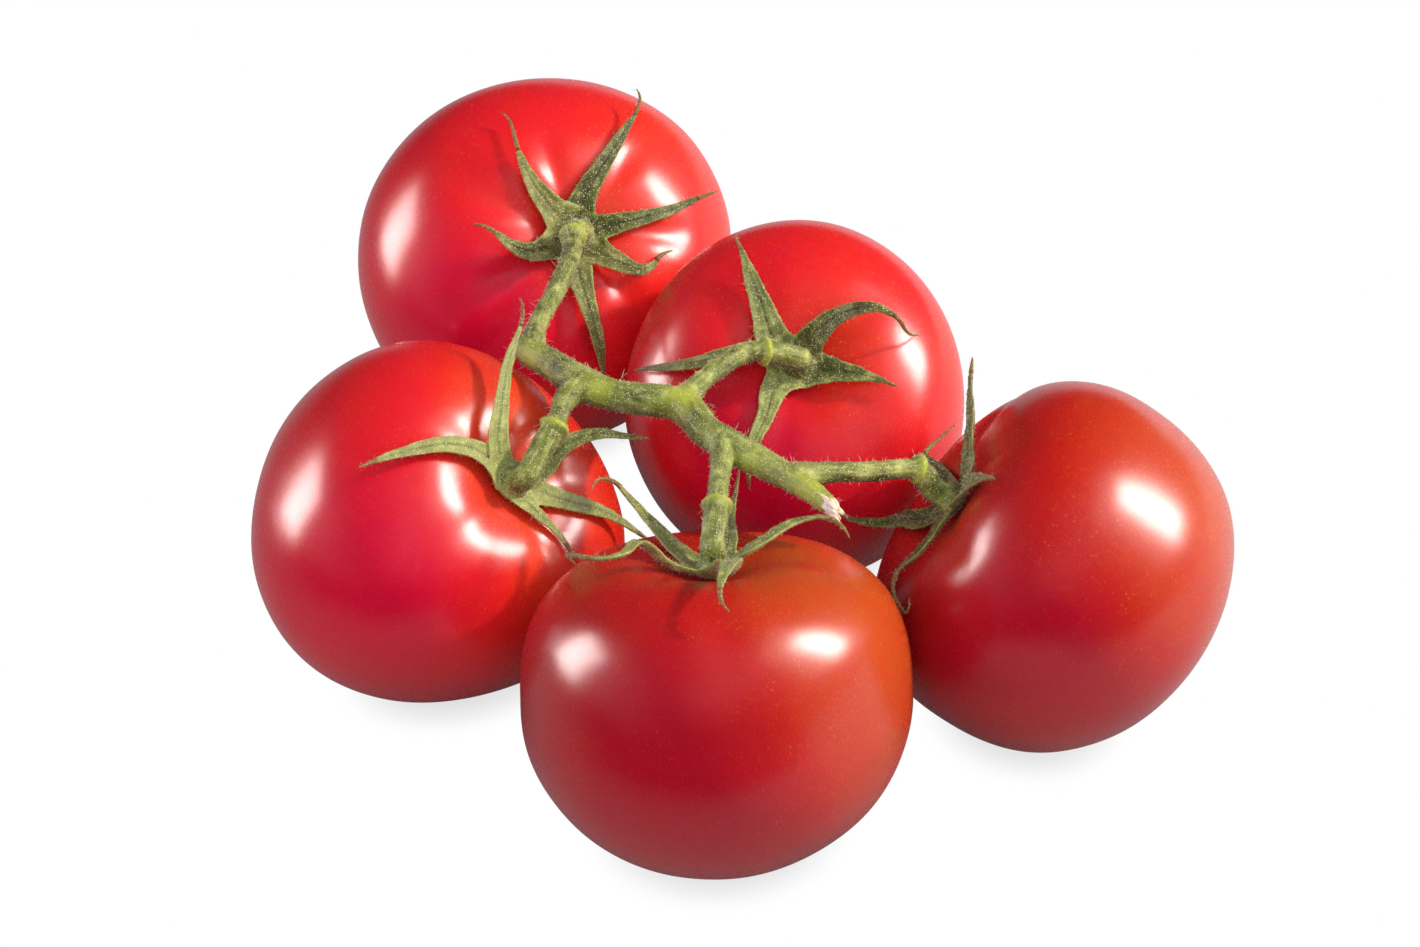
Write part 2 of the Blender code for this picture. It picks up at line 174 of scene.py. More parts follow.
@dataclass(frozen=True)
class TomatoCuticle:
    """Skin of a ripe tomato: a smooth waxy cuticle over red flesh, so it is glossy and light glows through it."""

    # The skin runs from crimson, deepest where shade is painted, through red to orange, where light is painted on the
    # side facing the key light
    crimson: str = "#dc0838"
    red: str = "#e62222"
    orange: str = "#ea5428"
    # Colour of the painted shade in the creases
    deep: str = "#b80820"
    brown: str = "#d0ecb4"
    fleck: str = "#f2a83c"
    scar: str = "#8a5a34"
    patch_size: float = 22.0
    crowd_size: float = 8.0
    fleck_spacing: float = 0.72
    fleck_reach: float = 0.27
    fleck_strength: float = 0.95
    dust_spacing: float = 0.4
    dust_reach: float = 0.34
    dust_strength: float = 0.5
    grain_size: float = 0.4
    ior: float = 1.46
    waxiest: float = 0.2
    dullest: float = 0.32
    flesh_share: float = 0.45
    flesh_depth: float = 5.0

    def material(self) -> bpy.types.Material:
        """Builds the skin, with ripening patches, painted light and shade, golden flecks and the brown scar of the
        blossom.
        """
        material, tree, output = blank_material("ripe_tomato_cuticle")
        spot = add(tree, "TexCoord").outputs["Object"]
        patches = add(tree, "TexNoise", {"Scale": per_mm(self.patch_size), "Detail": 3.0}, {"Vector": spot})
        uneven = add(
            tree, "MapRange", {"From Min": 0.3, "From Max": 0.7, "To Min": -0.12, "To Max": 0.12},
            {"Value": patches.outputs["Fac"]},
        )
        # Painted light and shade: the attribute is high on the side facing the key light and low on the side painted
        # crimson; random patches are added to it
        painted_light_and_ripeness = add(tree, "Attribute", {"attribute_name": "painted_light_and_ripeness"})
        ripe = add(
            tree, "Math", {"operation": "ADD", "use_clamp": True},
            {0: painted_light_and_ripeness.outputs["Fac"], 1: uneven.outputs["Result"]},
        )
        body = add(tree, "ValToRGB", {}, {"Fac": ripe.outputs[0]})
        ramp = body.color_ramp
        ramp.elements[0].color = linear(self.crimson)
        ramp.elements[1].color = linear(self.orange)
        ramp.elements.new(0.42).color = linear(self.red)
        brown = add(tree, "Attribute", {"attribute_name": "brown"})
        toned = add(
            tree, "Mix", {"data_type": "RGBA", "blend_type": "MULTIPLY", 7: linear(self.brown)},
            {0: brown.outputs["Fac"], 6: body.outputs[0]},
        )
        # Painted shade: the creases are darkened towards the deep colour
        crease = add(tree, "Attribute", {"attribute_name": "crease"})
        colour = add(
            tree, "Mix", {"data_type": "RGBA", 7: linear(self.deep)}, {0: crease.outputs["Fac"], 6: toned.outputs[2]}
        ).outputs[2]
        crowd = add(tree, "TexNoise", {"Scale": per_mm(self.crowd_size), "Detail": 2.0}, {"Vector": spot})
        crowded = add(
            tree, "MapRange", {"From Min": 0.36, "From Max": 0.62, "To Min": 0.3}, {"Value": crowd.outputs["Fac"]}
        )
        golden = add(tree, "MapRange", {"From Min": 0.1, "From Max": 0.7, "To Min": 0.25}, {"Value": ripe.outputs[0]})
        where = add(
            tree, "Math", {"operation": "MULTIPLY"}, {0: golden.outputs["Result"], 1: crowded.outputs["Result"]}
        )
        # Flecks of two sizes; the finest real ones are drawn about twice as coarse, so that they show
        for spacing, reach, strength in (
            (self.fleck_spacing, self.fleck_reach, self.fleck_strength),
            (self.dust_spacing, self.dust_reach, self.dust_strength),
        ):
            cells = add(tree, "TexVoronoi", {"Scale": per_mm(spacing)}, {"Vector": spot})
            dot = add(
                tree, "MapRange", {"From Min": reach, "From Max": 0.4 * reach, "To Max": strength},
                {"Value": cells.outputs["Distance"]},
            )
            lot = add(tree, "SeparateColor", {}, {"Color": cells.outputs["Color"]})
            chosen = add(tree, "MapRange", {"From Min": 0.45, "From Max": 1.0}, {"Value": lot.outputs["Red"]})
            some = add(
                tree, "Math", {"operation": "MULTIPLY"}, {0: chosen.outputs["Result"], 1: where.outputs[0]}
            )
            share = add(tree, "Math", {"operation": "MULTIPLY"}, {0: dot.outputs["Result"], 1: some.outputs[0]})
            colour = add(
                tree, "Mix", {"data_type": "RGBA", 7: linear(self.fleck)}, {0: share.outputs[0], 6: colour}
            ).outputs[2]
        scar = add(tree, "Attribute", {"attribute_name": "scar"})
        colour = add(
            tree, "Mix", {"data_type": "RGBA", 7: linear(self.scar)}, {0: scar.outputs["Fac"], 6: colour}
        ).outputs[2]
        grain = add(tree, "TexNoise", {"Scale": per_mm(self.grain_size), "Detail": 1.0}, {"Vector": spot})
        raised = add(tree, "Bump", {"Strength": 0.12, "Distance": 0.0001}, {"Height": grain.outputs["Fac"]})
        matt = add(tree, "MapRange", {"To Min": self.waxiest, "To Max": self.dullest}, {"Value": grain.outputs["Fac"]})
        skin = add(
            tree,
            "BsdfPrincipled",
            {
                "IOR": self.ior,
                "Subsurface Weight": self.flesh_share,
                "Subsurface Radius": (1.0, 0.08, 0.06),
                "Subsurface Scale": self.flesh_depth * MM,
            },
            {"Base Color": colour, "Roughness": matt.outputs["Result"], "Normal": raised.outputs["Normal"]},
        )
        tree.links.new(skin.outputs[0], output.inputs["Surface"])
        return material


@dataclass(frozen=True)
class GreenTissue:
    """Green plant tissue grown with a coat of glandular hairs, so it is matt and looks powdered with pale specks."""

    name: str
    body: str
    dark: str
    pale: str
    lime: str
    dry: str
    speck: str = "#f0ebb4"
    speck_spacing: float = 0.36
    mottle_size: float = 2.2
    roughness: float = 0.62
    ior: float = 1.36

    def material(self) -> bpy.types.Material:
        """Builds the tissue, with mottling, pale and dark parts, lime growth, dried parts and specks."""
        material, tree, output = blank_material(self.name)
        spot = add(tree, "TexCoord").outputs["Object"]
        mottle = add(
            tree, "TexNoise", {"Scale": per_mm(self.mottle_size), "Detail": 3.0, "Roughness": 0.6}, {"Vector": spot}
        )
        tone = add(tree, "ValToRGB", {}, {"Fac": mottle.outputs["Fac"]})
        ramp = tone.color_ramp
        ramp.elements[0].position, ramp.elements[0].color = 0.30, linear(self.pale)
        ramp.elements[1].position, ramp.elements[1].color = 0.68, linear(self.dark)
        ramp.elements.new(0.47).color = linear(self.body)
        colour = tone.outputs[0]
        for name, tint in (("pale", self.pale), ("shade", self.dark), ("lime", self.lime), ("dry", self.dry)):
            share = add(tree, "Attribute", {"attribute_name": name})
            colour = add(
                tree, "Mix", {"data_type": "RGBA", 7: linear(tint)}, {0: share.outputs["Fac"], 6: colour}
            ).outputs[2]
        cells = add(tree, "TexVoronoi", {"Scale": per_mm(self.speck_spacing)}, {"Vector": spot})
        dot = add(tree, "MapRange", {"From Min": 0.40, "From Max": 0.18}, {"Value": cells.outputs["Distance"]})
        lot = add(tree, "SeparateColor", {}, {"Color": cells.outputs["Color"]})
        chosen = add(
            tree, "MapRange", {"From Min": 0.30, "From Max": 0.85, "To Max": 0.9}, {"Value": lot.outputs["Red"]}
        )
        share = add(tree, "Math", {"operation": "MULTIPLY"}, {0: dot.outputs["Result"], 1: chosen.outputs["Result"]})
        specked = add(tree, "Mix", {"data_type": "RGBA", 7: linear(self.speck)}, {0: share.outputs[0], 6: colour})
        height = add(tree, "Math", {"operation": "ADD"}, {0: share.outputs[0], 1: mottle.outputs["Fac"]})
        raised = add(tree, "Bump", {"Strength": 0.5, "Distance": 0.00012}, {"Height": height.outputs[0]})
        tissue = add(
            tree,
            "BsdfPrincipled",
            {
                "Roughness": self.roughness,
                "IOR": self.ior,
                "Subsurface Weight": 0.05,
                "Subsurface Radius": (0.5, 0.7, 0.15),
                "Subsurface Scale": 1.0 * MM,
                "Sheen Weight": 0.1,
                "Sheen Roughness": 0.45,
                "Sheen Tint": (0.95, 0.95, 0.75, 1.0),
            },
            {"Base Color": specked.outputs[2], "Normal": raised.outputs["Normal"]},
        )
        tree.links.new(tissue.outputs[0], output.inputs["Surface"])
        return material


@dataclass(frozen=True)
class TornFibre:
    """Dry woody fibre torn across, so it is pale, rough and streaked along its length."""

    pale: str = "#f2e8d4"
    shadowed: str = "#cdb892"
    stain: str = "#8c5a38"
    streak_size: float = 0.8
    stain_size: float = 2.4
    roughness: float = 0.85
    ior: float = 1.4

    def material(self) -> bpy.types.Material:
        """Builds the fibre, with fine streaks and a few brown stains."""
        material, tree, output = blank_material("torn_plant_fibre")
        spot = add(tree, "TexCoord").outputs["Object"]
        streak = add(tree, "TexNoise", {"Scale": per_mm(self.streak_size), "Detail": 3.0}, {"Vector": spot})
        share = add(tree, "MapRange", {"From Min": 0.45, "From Max": 0.75}, {"Value": streak.outputs["Fac"]})
        body = add(
            tree, "Mix", {"data_type": "RGBA", 6: linear(self.pale), 7: linear(self.shadowed)},
            {0: share.outputs["Result"]},
        )
        blot = add(tree, "TexNoise", {"Scale": per_mm(self.stain_size), "Detail": 1.0}, {"Vector": spot})
        stained = add(
            tree, "MapRange", {"From Min": 0.60, "From Max": 0.70, "To Max": 0.8}, {"Value": blot.outputs["Fac"]}
        )
        colour = add(
            tree, "Mix", {"data_type": "RGBA", 7: linear(self.stain)},
            {0: stained.outputs["Result"], 6: body.outputs[2]},
        )
        raised = add(tree, "Bump", {"Strength": 0.6, "Distance": 0.0002}, {"Height": streak.outputs["Fac"]})
        fibre = add(
            tree,
            "BsdfPrincipled",
            {"Roughness": self.roughness, "IOR": self.ior},
            {"Base Color": colour.outputs[2], "Normal": raised.outputs["Normal"]},
        )
        tree.links.new(fibre.outputs[0], output.inputs["Surface"])
        return material


@dataclass(frozen=True)
class PlantHair:
    """Fine clear plant hairs, which catch the light and look white."""

    root: str = "#c9c79a"
    tip: str = "#f4efe2"
    roughness: float = 0.4
    ior: float = 1.5

    def material(self) -> bpy.types.Material:
        """Builds the hair, paler towards its tip."""
        material, tree, output = blank_material("clear_plant_hair")
        along = add(tree, "Attribute", {"attribute_name": "along"})
        colour = add(
            tree, "Mix", {"data_type": "RGBA", 6: linear(self.root), 7: linear(self.tip)}, {0: along.outputs["Fac"]}
        )
        hair = add(
            tree, "BsdfPrincipled", {"Roughness": self.roughness, "IOR": self.ior}, {"Base Color": colour.outputs[2]}
        )
        tree.links.new(hair.outputs[0], output.inputs["Surface"])
        return material


@dataclass(frozen=True)
class PaleFloor:
    """White floor that glows evenly, with a painted shadow close under each tomato, and that throws painted light up.
    """

    nearest: float = 0.70
    open_share: float = 0.55
    reach: float = 11.0
    room_reach: float = 60.0
    room_glow: float = 0.95

    def material(self) -> bpy.types.Material:
        """Builds the floor, which glows less where something is above it, as painted shadow, and least near the dark
        front of the room; the glow it throws up is painted light.
        """
        material, tree, output = blank_material("glowing_floor_with_painted_shadow")
        # Painted contact shadow: what the camera sees glows less where the ambient occlusion finds something close
        # above
        painted_shadow_ao = add(tree, "AmbientOcclusion", {"samples": 24, "Distance": self.reach * MM})
        glow = add(
            tree, "MapRange",
            {"interpolation_type": "SMOOTHSTEP", "From Min": 0.05, "From Max": self.open_share, "To Min": self.nearest},
            {"Value": painted_shadow_ao.outputs["AO"]},
        )
        seen = add(tree, "Emission", {"Color": (1.0, 1.0, 1.0, 1.0)}, {"Strength": glow.outputs["Result"]})
        # To every other ray the floor glows as painted light, with painted shadow where something shelters it
        shelter = add(tree, "AmbientOcclusion", {"samples": 4, "Distance": self.room_reach * MM})
        opened = add(
            tree, "MapRange", {"From Min": 0.15, "From Max": 0.95, "To Min": 0.04, "To Max": self.room_glow},
            {"Value": shelter.outputs["AO"]},
        )
        # The painted light that the floor throws up fades towards the viewer and grows to the right; distances are in
        # metres
        spot = add(tree, "TexCoord").outputs["Object"]
        across = add(tree, "VectorMath", {"operation": "DOT_PRODUCT", 1: (0.5, 1.0, 0.0)}, {0: spot})
        front = add(
            tree, "MapRange", {"From Min": -0.27, "From Max": -0.13, "To Min": 0.08}, {"Value": across.outputs["Value"]}
        )
        split = add(tree, "SeparateXYZ", {}, {0: spot})
        side = add(
            tree, "MapRange", {"From Min": -0.25, "From Max": 0.3, "To Min": 0.2, "To Max": 1.25},
            {"Value": split.outputs["X"]},
        )
        uneven = add(tree, "Math", {"operation": "MULTIPLY"}, {0: front.outputs["Result"], 1: side.outputs["Result"]})
        strength = add(tree, "Math", {"operation": "MULTIPLY"}, {0: opened.outputs["Result"], 1: uneven.outputs[0]})
        thrown = add(tree, "Emission", {"Color": (1.0, 0.97, 1.0, 1.0)}, {"Strength": strength.outputs[0]})
        path = add(tree, "LightPath")
        both = add(
            tree, "MixShader", {}, {0: path.outputs["Is Camera Ray"], 1: thrown.outputs[0], 2: seen.outputs[0]}
        )
        tree.links.new(both.outputs[0], output.inputs["Surface"])
        return material


# Shared mesh work


def object_from(bm: bmesh.types.BMesh, name: str) -> bpy.types.Object:
    """Turns a bmesh in metres into an object of the scene, its faces turned outwards, and frees the bmesh."""
    bmesh.ops.recalc_face_normals(bm, faces=bm.faces)
    mesh = bpy.data.meshes.new(name)
    bm.to_mesh(mesh)
    bm.free()
    made = bpy.data.objects.new(name, mesh)
    bpy.context.scene.collection.objects.link(made)
    return made


def corners(obj: bpy.types.Object) -> np.ndarray:
    """Places of an object's vertices in millimetres."""
    flat = np.empty(len(obj.data.vertices) * 3, np.float32)
    obj.data.vertices.foreach_get("co", flat)
    return flat.reshape(-1, 3).astype(float) / MM


def normals(obj: bpy.types.Object) -> np.ndarray:
    """Normals at an object's vertices."""
    flat = np.empty(len(obj.data.vertices) * 3, np.float32)
    obj.data.vertex_normals.foreach_get("vector", flat)
    return flat.reshape(-1, 3).astype(float)


def set_corners(obj: bpy.types.Object, places: np.ndarray) -> None:
    """Moves an object's vertices to places in millimetres."""
    obj.data.vertices.foreach_set("co", (places * MM).astype(np.float32).ravel())
    obj.data.update()


def paint(obj: bpy.types.Object, name: str, values: np.ndarray) -> None:
    """Stores one value at each vertex under a name that a material reads."""
    layer = obj.data.attributes.new(name, "FLOAT", "POINT")
    layer.data.foreach_set("value", np.clip(values, 0.0, 1.0).astype(np.float32))


def dress(obj: bpy.types.Object, material: bpy.types.Material, slot: Slot, *nodes: str) -> bpy.types.Object:
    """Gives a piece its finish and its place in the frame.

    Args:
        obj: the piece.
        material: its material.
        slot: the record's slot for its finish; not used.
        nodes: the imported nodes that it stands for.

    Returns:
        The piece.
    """
    obj.data.materials.clear()
    obj.data.materials.append(material)
    obj.data.shade_smooth()
    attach(obj, "root")
    if nodes:
        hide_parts(*nodes)
    LOG.info("%s: %d faces, finish %s", obj.name, len(obj.data.polygons), material.name)
    return obj


def smooth_line(points: np.ndarray, steps: int) -> np.ndarray:
    """Rounds a line through points.

    Args:
        points: one row for each point, with any number of values.
        steps: pieces between two points.

    Returns:
        The rows of the rounded line, through every given point.
    """
    padded = np.vstack([2 * points[0] - points[1], points, 2 * points[-1] - points[-2]])
    rows = []
    for k in range(1, len(padded) - 2):
        before, start, end, after = padded[k - 1 : k + 3]
        for step in range(steps):
            t = step / steps
            rows.append(
                0.5
                * (
                    2 * start
                    + (end - before) * t
                    + (2 * before - 5 * start + 4 * end - after) * t**2
                    + (3 * start - before - 3 * end + after) * t**3
                )
            )
    rows.append(points[-1])
    return np.array(rows)


def lengths_along(line: np.ndarray) -> np.ndarray:
    """Distance of each point of a line from its start, measured along it."""
    return np.concatenate([[0.0], np.cumsum(np.linalg.norm(np.diff(line[:, :3], axis=0), axis=1))])


def sweep(bm: bmesh.types.BMesh, line: np.ndarray, radii: np.ndarray, sides: int, ridges: float = 0.0) -> None:
    """Adds a closed tube along a line.

    Args:
        bm: the bmesh that gets it, in metres.
        line: the middle line in millimetres.
        radii: the radius at each of its points.
        sides: faces round the tube.
        ridges: depth of the ridges along it, as a share of its radius.
    """
    ahead = np.gradient(line, axis=0)
    ahead /= np.linalg.norm(ahead, axis=1, keepdims=True)
    side = np.cross(ahead[0], (0.0, 0.0, 1.0))
    if np.linalg.norm(side) < 0.1:
        side = np.cross(ahead[0], (1.0, 0.0, 0.0))
    rings = []
    for k, (place, direction) in enumerate(zip(line, ahead)):
        side = side - direction * side.dot(direction)
        side /= np.linalg.norm(side)
        up = np.cross(direction, side)
        ring = []
        for n in range(sides):
            turn = 2 * math.pi * n / sides
            swell = 1.0 + ridges * (math.cos(5 * turn + 0.04 * k) + 0.5 * math.sin(3 * turn + 0.09 * k))
            spoke = side * math.cos(turn) + up * math.sin(turn)
            ring.append(bm.verts.new((place + radii[k] * swell * spoke) * MM))
        rings.append(ring)
    for first, second in zip(rings, rings[1:]):
        for n in range(sides):
            after = (n + 1) % sides
            bm.faces.new((first[n], first[after], second[after], second[n]))
    bm.faces.new(rings[0][::-1])
    bm.faces.new(rings[-1])


def fuse(bm: bmesh.types.BMesh, name: str, grid: float, softening: int) -> bpy.types.Object:
    """Grows the closed bodies of a bmesh together into one skin, rounded where they meet.

    Args:
        bm: the bodies, in metres.
        name: the new object's name.
        grid: size of the new skin's faces in millimetres.
        softening: how many times the skin is smoothed.

    Returns:
        The object.
    """
    made = object_from(bm, name)
    joined = made.modifiers.new("grow_together", "REMESH")
    joined.mode = "VOXEL"
    joined.voxel_size = grid * MM
    soft = made.modifiers.new("soften", "SMOOTH")
    soft.factor = 0.5
    soft.iterations = softening
    graph = bpy.context.evaluated_depsgraph_get()
    mesh = bpy.data.meshes.new_from_object(made.evaluated_get(graph))
    made.modifiers.clear()
    made.data = mesh
    return made


def between(values: tuple[float, ...], share: float) -> float:
    """Value at a share of the way along evenly spaced values."""
    place = share * (len(values) - 1)
    first = min(int(place), len(values) - 2)
    return values[first] + (values[first + 1] - values[first]) * (place - first)


def bell(distance: np.ndarray | float, width: float) -> np.ndarray | float:
    """A smooth bump that is 1 at no distance and falls off over the width."""
    return np.exp(-((distance / width) ** 2))


# Tomatoes


@dataclass(frozen=True)
class Fold:
    """A crease in the skin that runs out from the stem hollow."""

    around: float
    depth: float
    width: float
    start: float = 0.25
    end: float = 0.85


@dataclass(frozen=True)
class Fruit:
    """Shape of one tomato, in shares of its radius, and how it lies."""

    centre_xy: tuple[float, float]
    lean: float
    toward: float
    radius: float
    top: float
    bottom: float
    top_fullness: float
    bottom_fullness: float
    oval: tuple[float, float]
    three_sided: tuple[float, float]
    ribs: int
    rib_depth: float
    rib_turn: float
    folds: tuple[Fold, ...] = ()

    def rotation(self) -> Matrix:
        """Tips the tomato's axis from upright without turning it about that axis."""
        turn = math.radians(self.toward)
        tip = Matrix.Rotation(math.radians(self.lean), 3, "Y")
        return Matrix.Rotation(turn, 3, "Z") @ tip @ Matrix.Rotation(-turn, 3, "Z")

    def skin(self, polar: np.ndarray, around: np.ndarray, fine: bool = True) -> tuple[np.ndarray, np.ndarray]:
        """Points of the skin in the tomato's own frame.

        Args:
            polar: angles down from the stem end, in radians.
            around: angles round the axis, in radians.
            fine: adds the folds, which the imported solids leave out.

        Returns:
            The points, one a row, and how deep in a crease each one is from 0 to 1.
        """
        upper = polar < math.pi / 2
        power = 2 / np.where(upper, self.top_fullness, self.bottom_fullness)
        out = np.abs(np.sin(polar)) ** power
        height = np.sign(np.cos(polar)) * np.abs(np.cos(polar)) ** power
        upward = self.top * height - HOLLOW_DEPTH * bell(out, HOLLOW_WIDTH)
        downward = self.bottom * height + BLOSSOM_DEPTH * bell(out, BLOSSOM_WIDTH)
        up = self.radius * np.where(height >= 0, upward, downward)
        lobes = 1.0 + self.oval[0] * np.cos(2 * around) + self.oval[1] * np.sin(2 * around)
        lobes += self.three_sided[0] * np.cos(3 * around) + self.three_sided[1] * np.sin(3 * around)
        rib = (0.5 + 0.5 * np.cos(self.ribs * (around - math.radians(self.rib_turn)))) ** 3
        up -= np.where(upper, self.rib_depth * rib * bell(out - RIB_CENTRE, RIB_WIDTH), 0.0)
        crease = np.zeros_like(up)
        if fine:
            for fold in self.folds:
                apart = (around - math.radians(fold.around) + math.pi) % (2 * math.pi) - math.pi
                reach = (out - fold.start) / (fold.end - fold.start)
                window = np.where((reach > 0) & (reach < 1), np.sin(math.pi * np.clip(reach, 0, 1)) ** 0.7, 0.0)
                dip = bell(apart * out * self.radius, fold.width) * window * upper * (np.abs(apart) < 1.2)
                up -= fold.depth * dip
                crease = np.maximum(crease, dip)
        side = self.radius * out * lobes
        return np.stack([side * np.cos(around), side * np.sin(around), up], axis=1), crease

    def centre(self) -> Vector:
        """Place of the tomato's centre, which puts its lowest point a little under the floor, to be cut flat."""
        polar = np.pi * (np.arange(1, SOLID_RINGS) / SOLID_RINGS) ** SOLID_CROWDING
        around = 2 * np.pi * np.arange(SOLID_SECTORS) / SOLID_SECTORS
        points, _ = self.skin(np.repeat(polar, SOLID_SECTORS), np.tile(around, SOLID_RINGS - 1), fine=False)
        lowest = (points @ np.array(self.rotation()).T)[:, 2].min()
        return Vector((self.centre_xy[0], self.centre_xy[1], -lowest - REST_DEPTH)) + SHIFT

    def hub_height(self) -> float:
        """Height of the middle of the calyx hub in the tomato's own frame."""
        return self.radius * (self.top - HOLLOW_DEPTH) + SKIN_CLEARANCE + 0.5 * HUB_THICKNESS

    def to_world(self, points: np.ndarray) -> np.ndarray:
        """Takes points from the tomato's own frame to the truss's, in millimetres."""
        return points @ np.array(self.rotation()).T + np.array(self.centre())


@dataclass(frozen=True)
class RipenessAndPaintedLight:
    """Colouring of one tomato: painted light on its golden side, its brownness, its paler shoulder and painted shade on
    its crimson side.
    """

    # Painted light: how golden the side facing the key light is painted
    golden: float
    brown: float
    base: float = 0.30
    # Painted light: lit grades the skin by how far it faces the key light
    lit: float = 0.1
    shoulder: float = 0.14
    shoulder_at: float = 0.32
    shoulder_width: float = 0.22
    # Painted shade and painted dark reflection on the side that faces the dark front of the room
    crimson: float = 0.5
    crimson_reach: float = 0.42

    def painted_light_and_ripeness(self, facing: np.ndarray, turned: np.ndarray, off_axis: np.ndarray, upper: np.ndarray) -> np.ndarray:
        """How golden the skin is at each point, with painted light towards the key light and painted shade on the
        crimson side.

        Args:
            facing: how far each point faces the key light, from -1 to 1.
            turned: how far each point faces the side painted as shade, from -1 to 1.
            off_axis: distance from the tomato's axis, as a share of its radius.
            upper: whether each point is on the stem's half.

        Returns:
            A value for each point, from 0 where the skin is crimson to 1 where it is orange.
        """
        # Painted light towards the key light
        side = self.golden * np.clip(1.6 * facing - 0.6, 0.0, 1.0)
        ring = self.shoulder * bell(off_axis - self.shoulder_at, self.shoulder_width) * upper
        # Painted shade and painted dark reflection on the side that faces the dark front of the room
        deep = self.crimson * bell(np.arccos(np.clip(turned, -1.0, 1.0)), self.crimson_reach)
        return self.base + self.lit * facing + side + ring - deep


@dataclass
class Tomato:
    """One tomato with its folds, its low bumps and the scar of its blossom."""

    place: Place
    fruit: Fruit
    skin_colouring: RipenessAndPaintedLight
    sectors: int = 220
    rings: int = 150
    crowding: float = 1.25
    bump_size: float = 15.0
    bump_height: float = 0.22
    scar_radius: float = 1.5
    scar_points: int = 5
    scar_rise: float = 0.35
    scar_colour: float = 1.4
    crease_shade: float = 0.4

    def build(self, skin: bpy.types.Material) -> bpy.types.Object:
        """Builds the tomato.

        Args:
            skin: its material.

        Returns:
            The tomato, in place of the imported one.
        """
        polar = np.pi * (np.arange(1, self.rings) / self.rings) ** self.crowding
        around = 2 * np.pi * np.arange(self.sectors) / self.sectors
        polar = np.concatenate([np.repeat(polar, self.sectors), [0.0, np.pi]])
        around = np.concatenate([np.tile(around, self.rings - 1), [0.0, 0.0]])
        local, crease = self.fruit.skin(polar, around)
        outward = local / np.linalg.norm(local, axis=1, keepdims=True)
        seat = Vector((self.fruit.centre_xy[0], self.fruit.centre_xy[1], 0.0))
        lumps = np.array([noise.noise(Vector(p) / self.bump_size + seat) for p in local])
        local = local + outward * (lumps * self.bump_height)[:, None]
        bottom = local[:, 2] < 0
        off_axis = np.hypot(local[:, 0], local[:, 1])
        star = 1.0 + 0.35 * np.cos(self.scar_points * around)
        scar = bell(off_axis / star, self.scar_radius) * bottom
        local[:, 2] += self.scar_rise * bell(off_axis, 0.8 * self.scar_radius) * bottom
        places = self.fruit.to_world(local)
        places[:, 2] = np.maximum(places[:, 2], 0.0)
        mesh = bpy.data.meshes.new("tomato")
        mesh.from_pydata(places * MM, [], self.faces())
        made = bpy.data.objects.new("ripe_tomato_" + self.place.value, mesh)
        bpy.context.scene.collection.objects.link(made)
        paint(made, "scar", self.scar_colour * scar)
        # Painted shade in the creases
        paint(made, "crease", self.crease_shade * crease)
        paint(made, "brown", np.full(len(local), self.skin_colouring.brown))
        # Painted light towards the key light and painted shade on the side facing the dark front of the room
        facing, turned = (
            outward @ np.array(self.fruit.rotation()).T @ np.array(side) for side in (PAINTED_LIGHT_SIDE, PAINTED_SHADE_SIDE)
        )
        paint(made, "painted_light_and_ripeness", self.skin_colouring.painted_light_and_ripeness(facing, turned, off_axis / self.fruit.radius, ~bottom))
        return dress(made, skin, Slot.SKIN, "tomato_" + self.place.value)

    def faces(self) -> list[tuple[int, ...]]:
        """Corners of the faces between the rings and at the two poles."""
        count, last = self.sectors, self.sectors * (self.rings - 1)
        faces = []
        for ring in range(self.rings - 2):
            for n in range(count):
                here, beside = ring * count + n, ring * count + (n + 1) % count
                faces.append((here, here + count, beside + count, beside))
        for n in range(count):
            after = (n + 1) % count
            faces.append((last, n, after))
            faces.append((last + 1, last - count + after, last - count + n))
        return faces


# Calyxes


@dataclass(frozen=True)
class Sepal:
    """One blade of a calyx: its middle line, its width and how green or dry it is."""

    length: float
    width: float
    heading: tuple[float, ...]
    climb: tuple[float, ...]
    blade: float = 0.92
    fullness: float = 0.85
    cup: float = 0.25
    hook: tuple[float, float] = (0.0, 0.0)
    pale: float = 0.0
    shade: float = 0.0
    dry: float = 0.0
    bow: tuple[float, float] = (0.0, 0.0)
    tip_shift: tuple[float, float] = (0.0, 0.0)
    flare: float = 1.3
    flare_reach: float = 2.6
    hook_start: float = 0.88

    def shift(self, share: float) -> np.ndarray:
        """Moves the middle line right and up as the photograph shows it, by the bow at mid-length and the tip shift."""
        right, up = (4 * share * (1 - share) * b + share**2 * t for b, t in zip(self.bow, self.tip_shift))
        return np.array((right, up * SIGHT_UP[0], up * SIGHT_UP[1]))

    def ahead(self, share: float) -> tuple[np.ndarray, np.ndarray]:
        """Direction of the middle line at a share of its length, and the direction across the blade."""
        bend = max(0.0, (share - self.hook_start) / 0.12)
        heading = math.radians(between(self.heading, share) + self.hook[0] * bend)
        climb = math.radians(between(self.climb, share) + self.hook[1] * bend)
        level = np.array((math.cos(heading), math.sin(heading), 0.0))
        ahead = math.cos(climb) * level + np.array((0.0, 0.0, math.sin(climb)))
        return ahead, np.array((-math.sin(heading), math.cos(heading), 0.0))

    def half_width(self, share: float) -> float:
        """Half the blade's width at a share of the whole length; it flares where the sepals grow together."""
        left = max(0.0, 1.0 - share / max(self.blade, 0.01))
        flare = self.flare * math.exp(-share * self.length / self.flare_reach)
        return 0.5 * self.width * left**self.fullness + flare


@dataclass(frozen=True)
class Sample:
    """A point of a part before the parts grow together, with what it knows of itself."""

    place: tuple[float, float, float]
    along: float
    across: float
    face: float
    owner: int


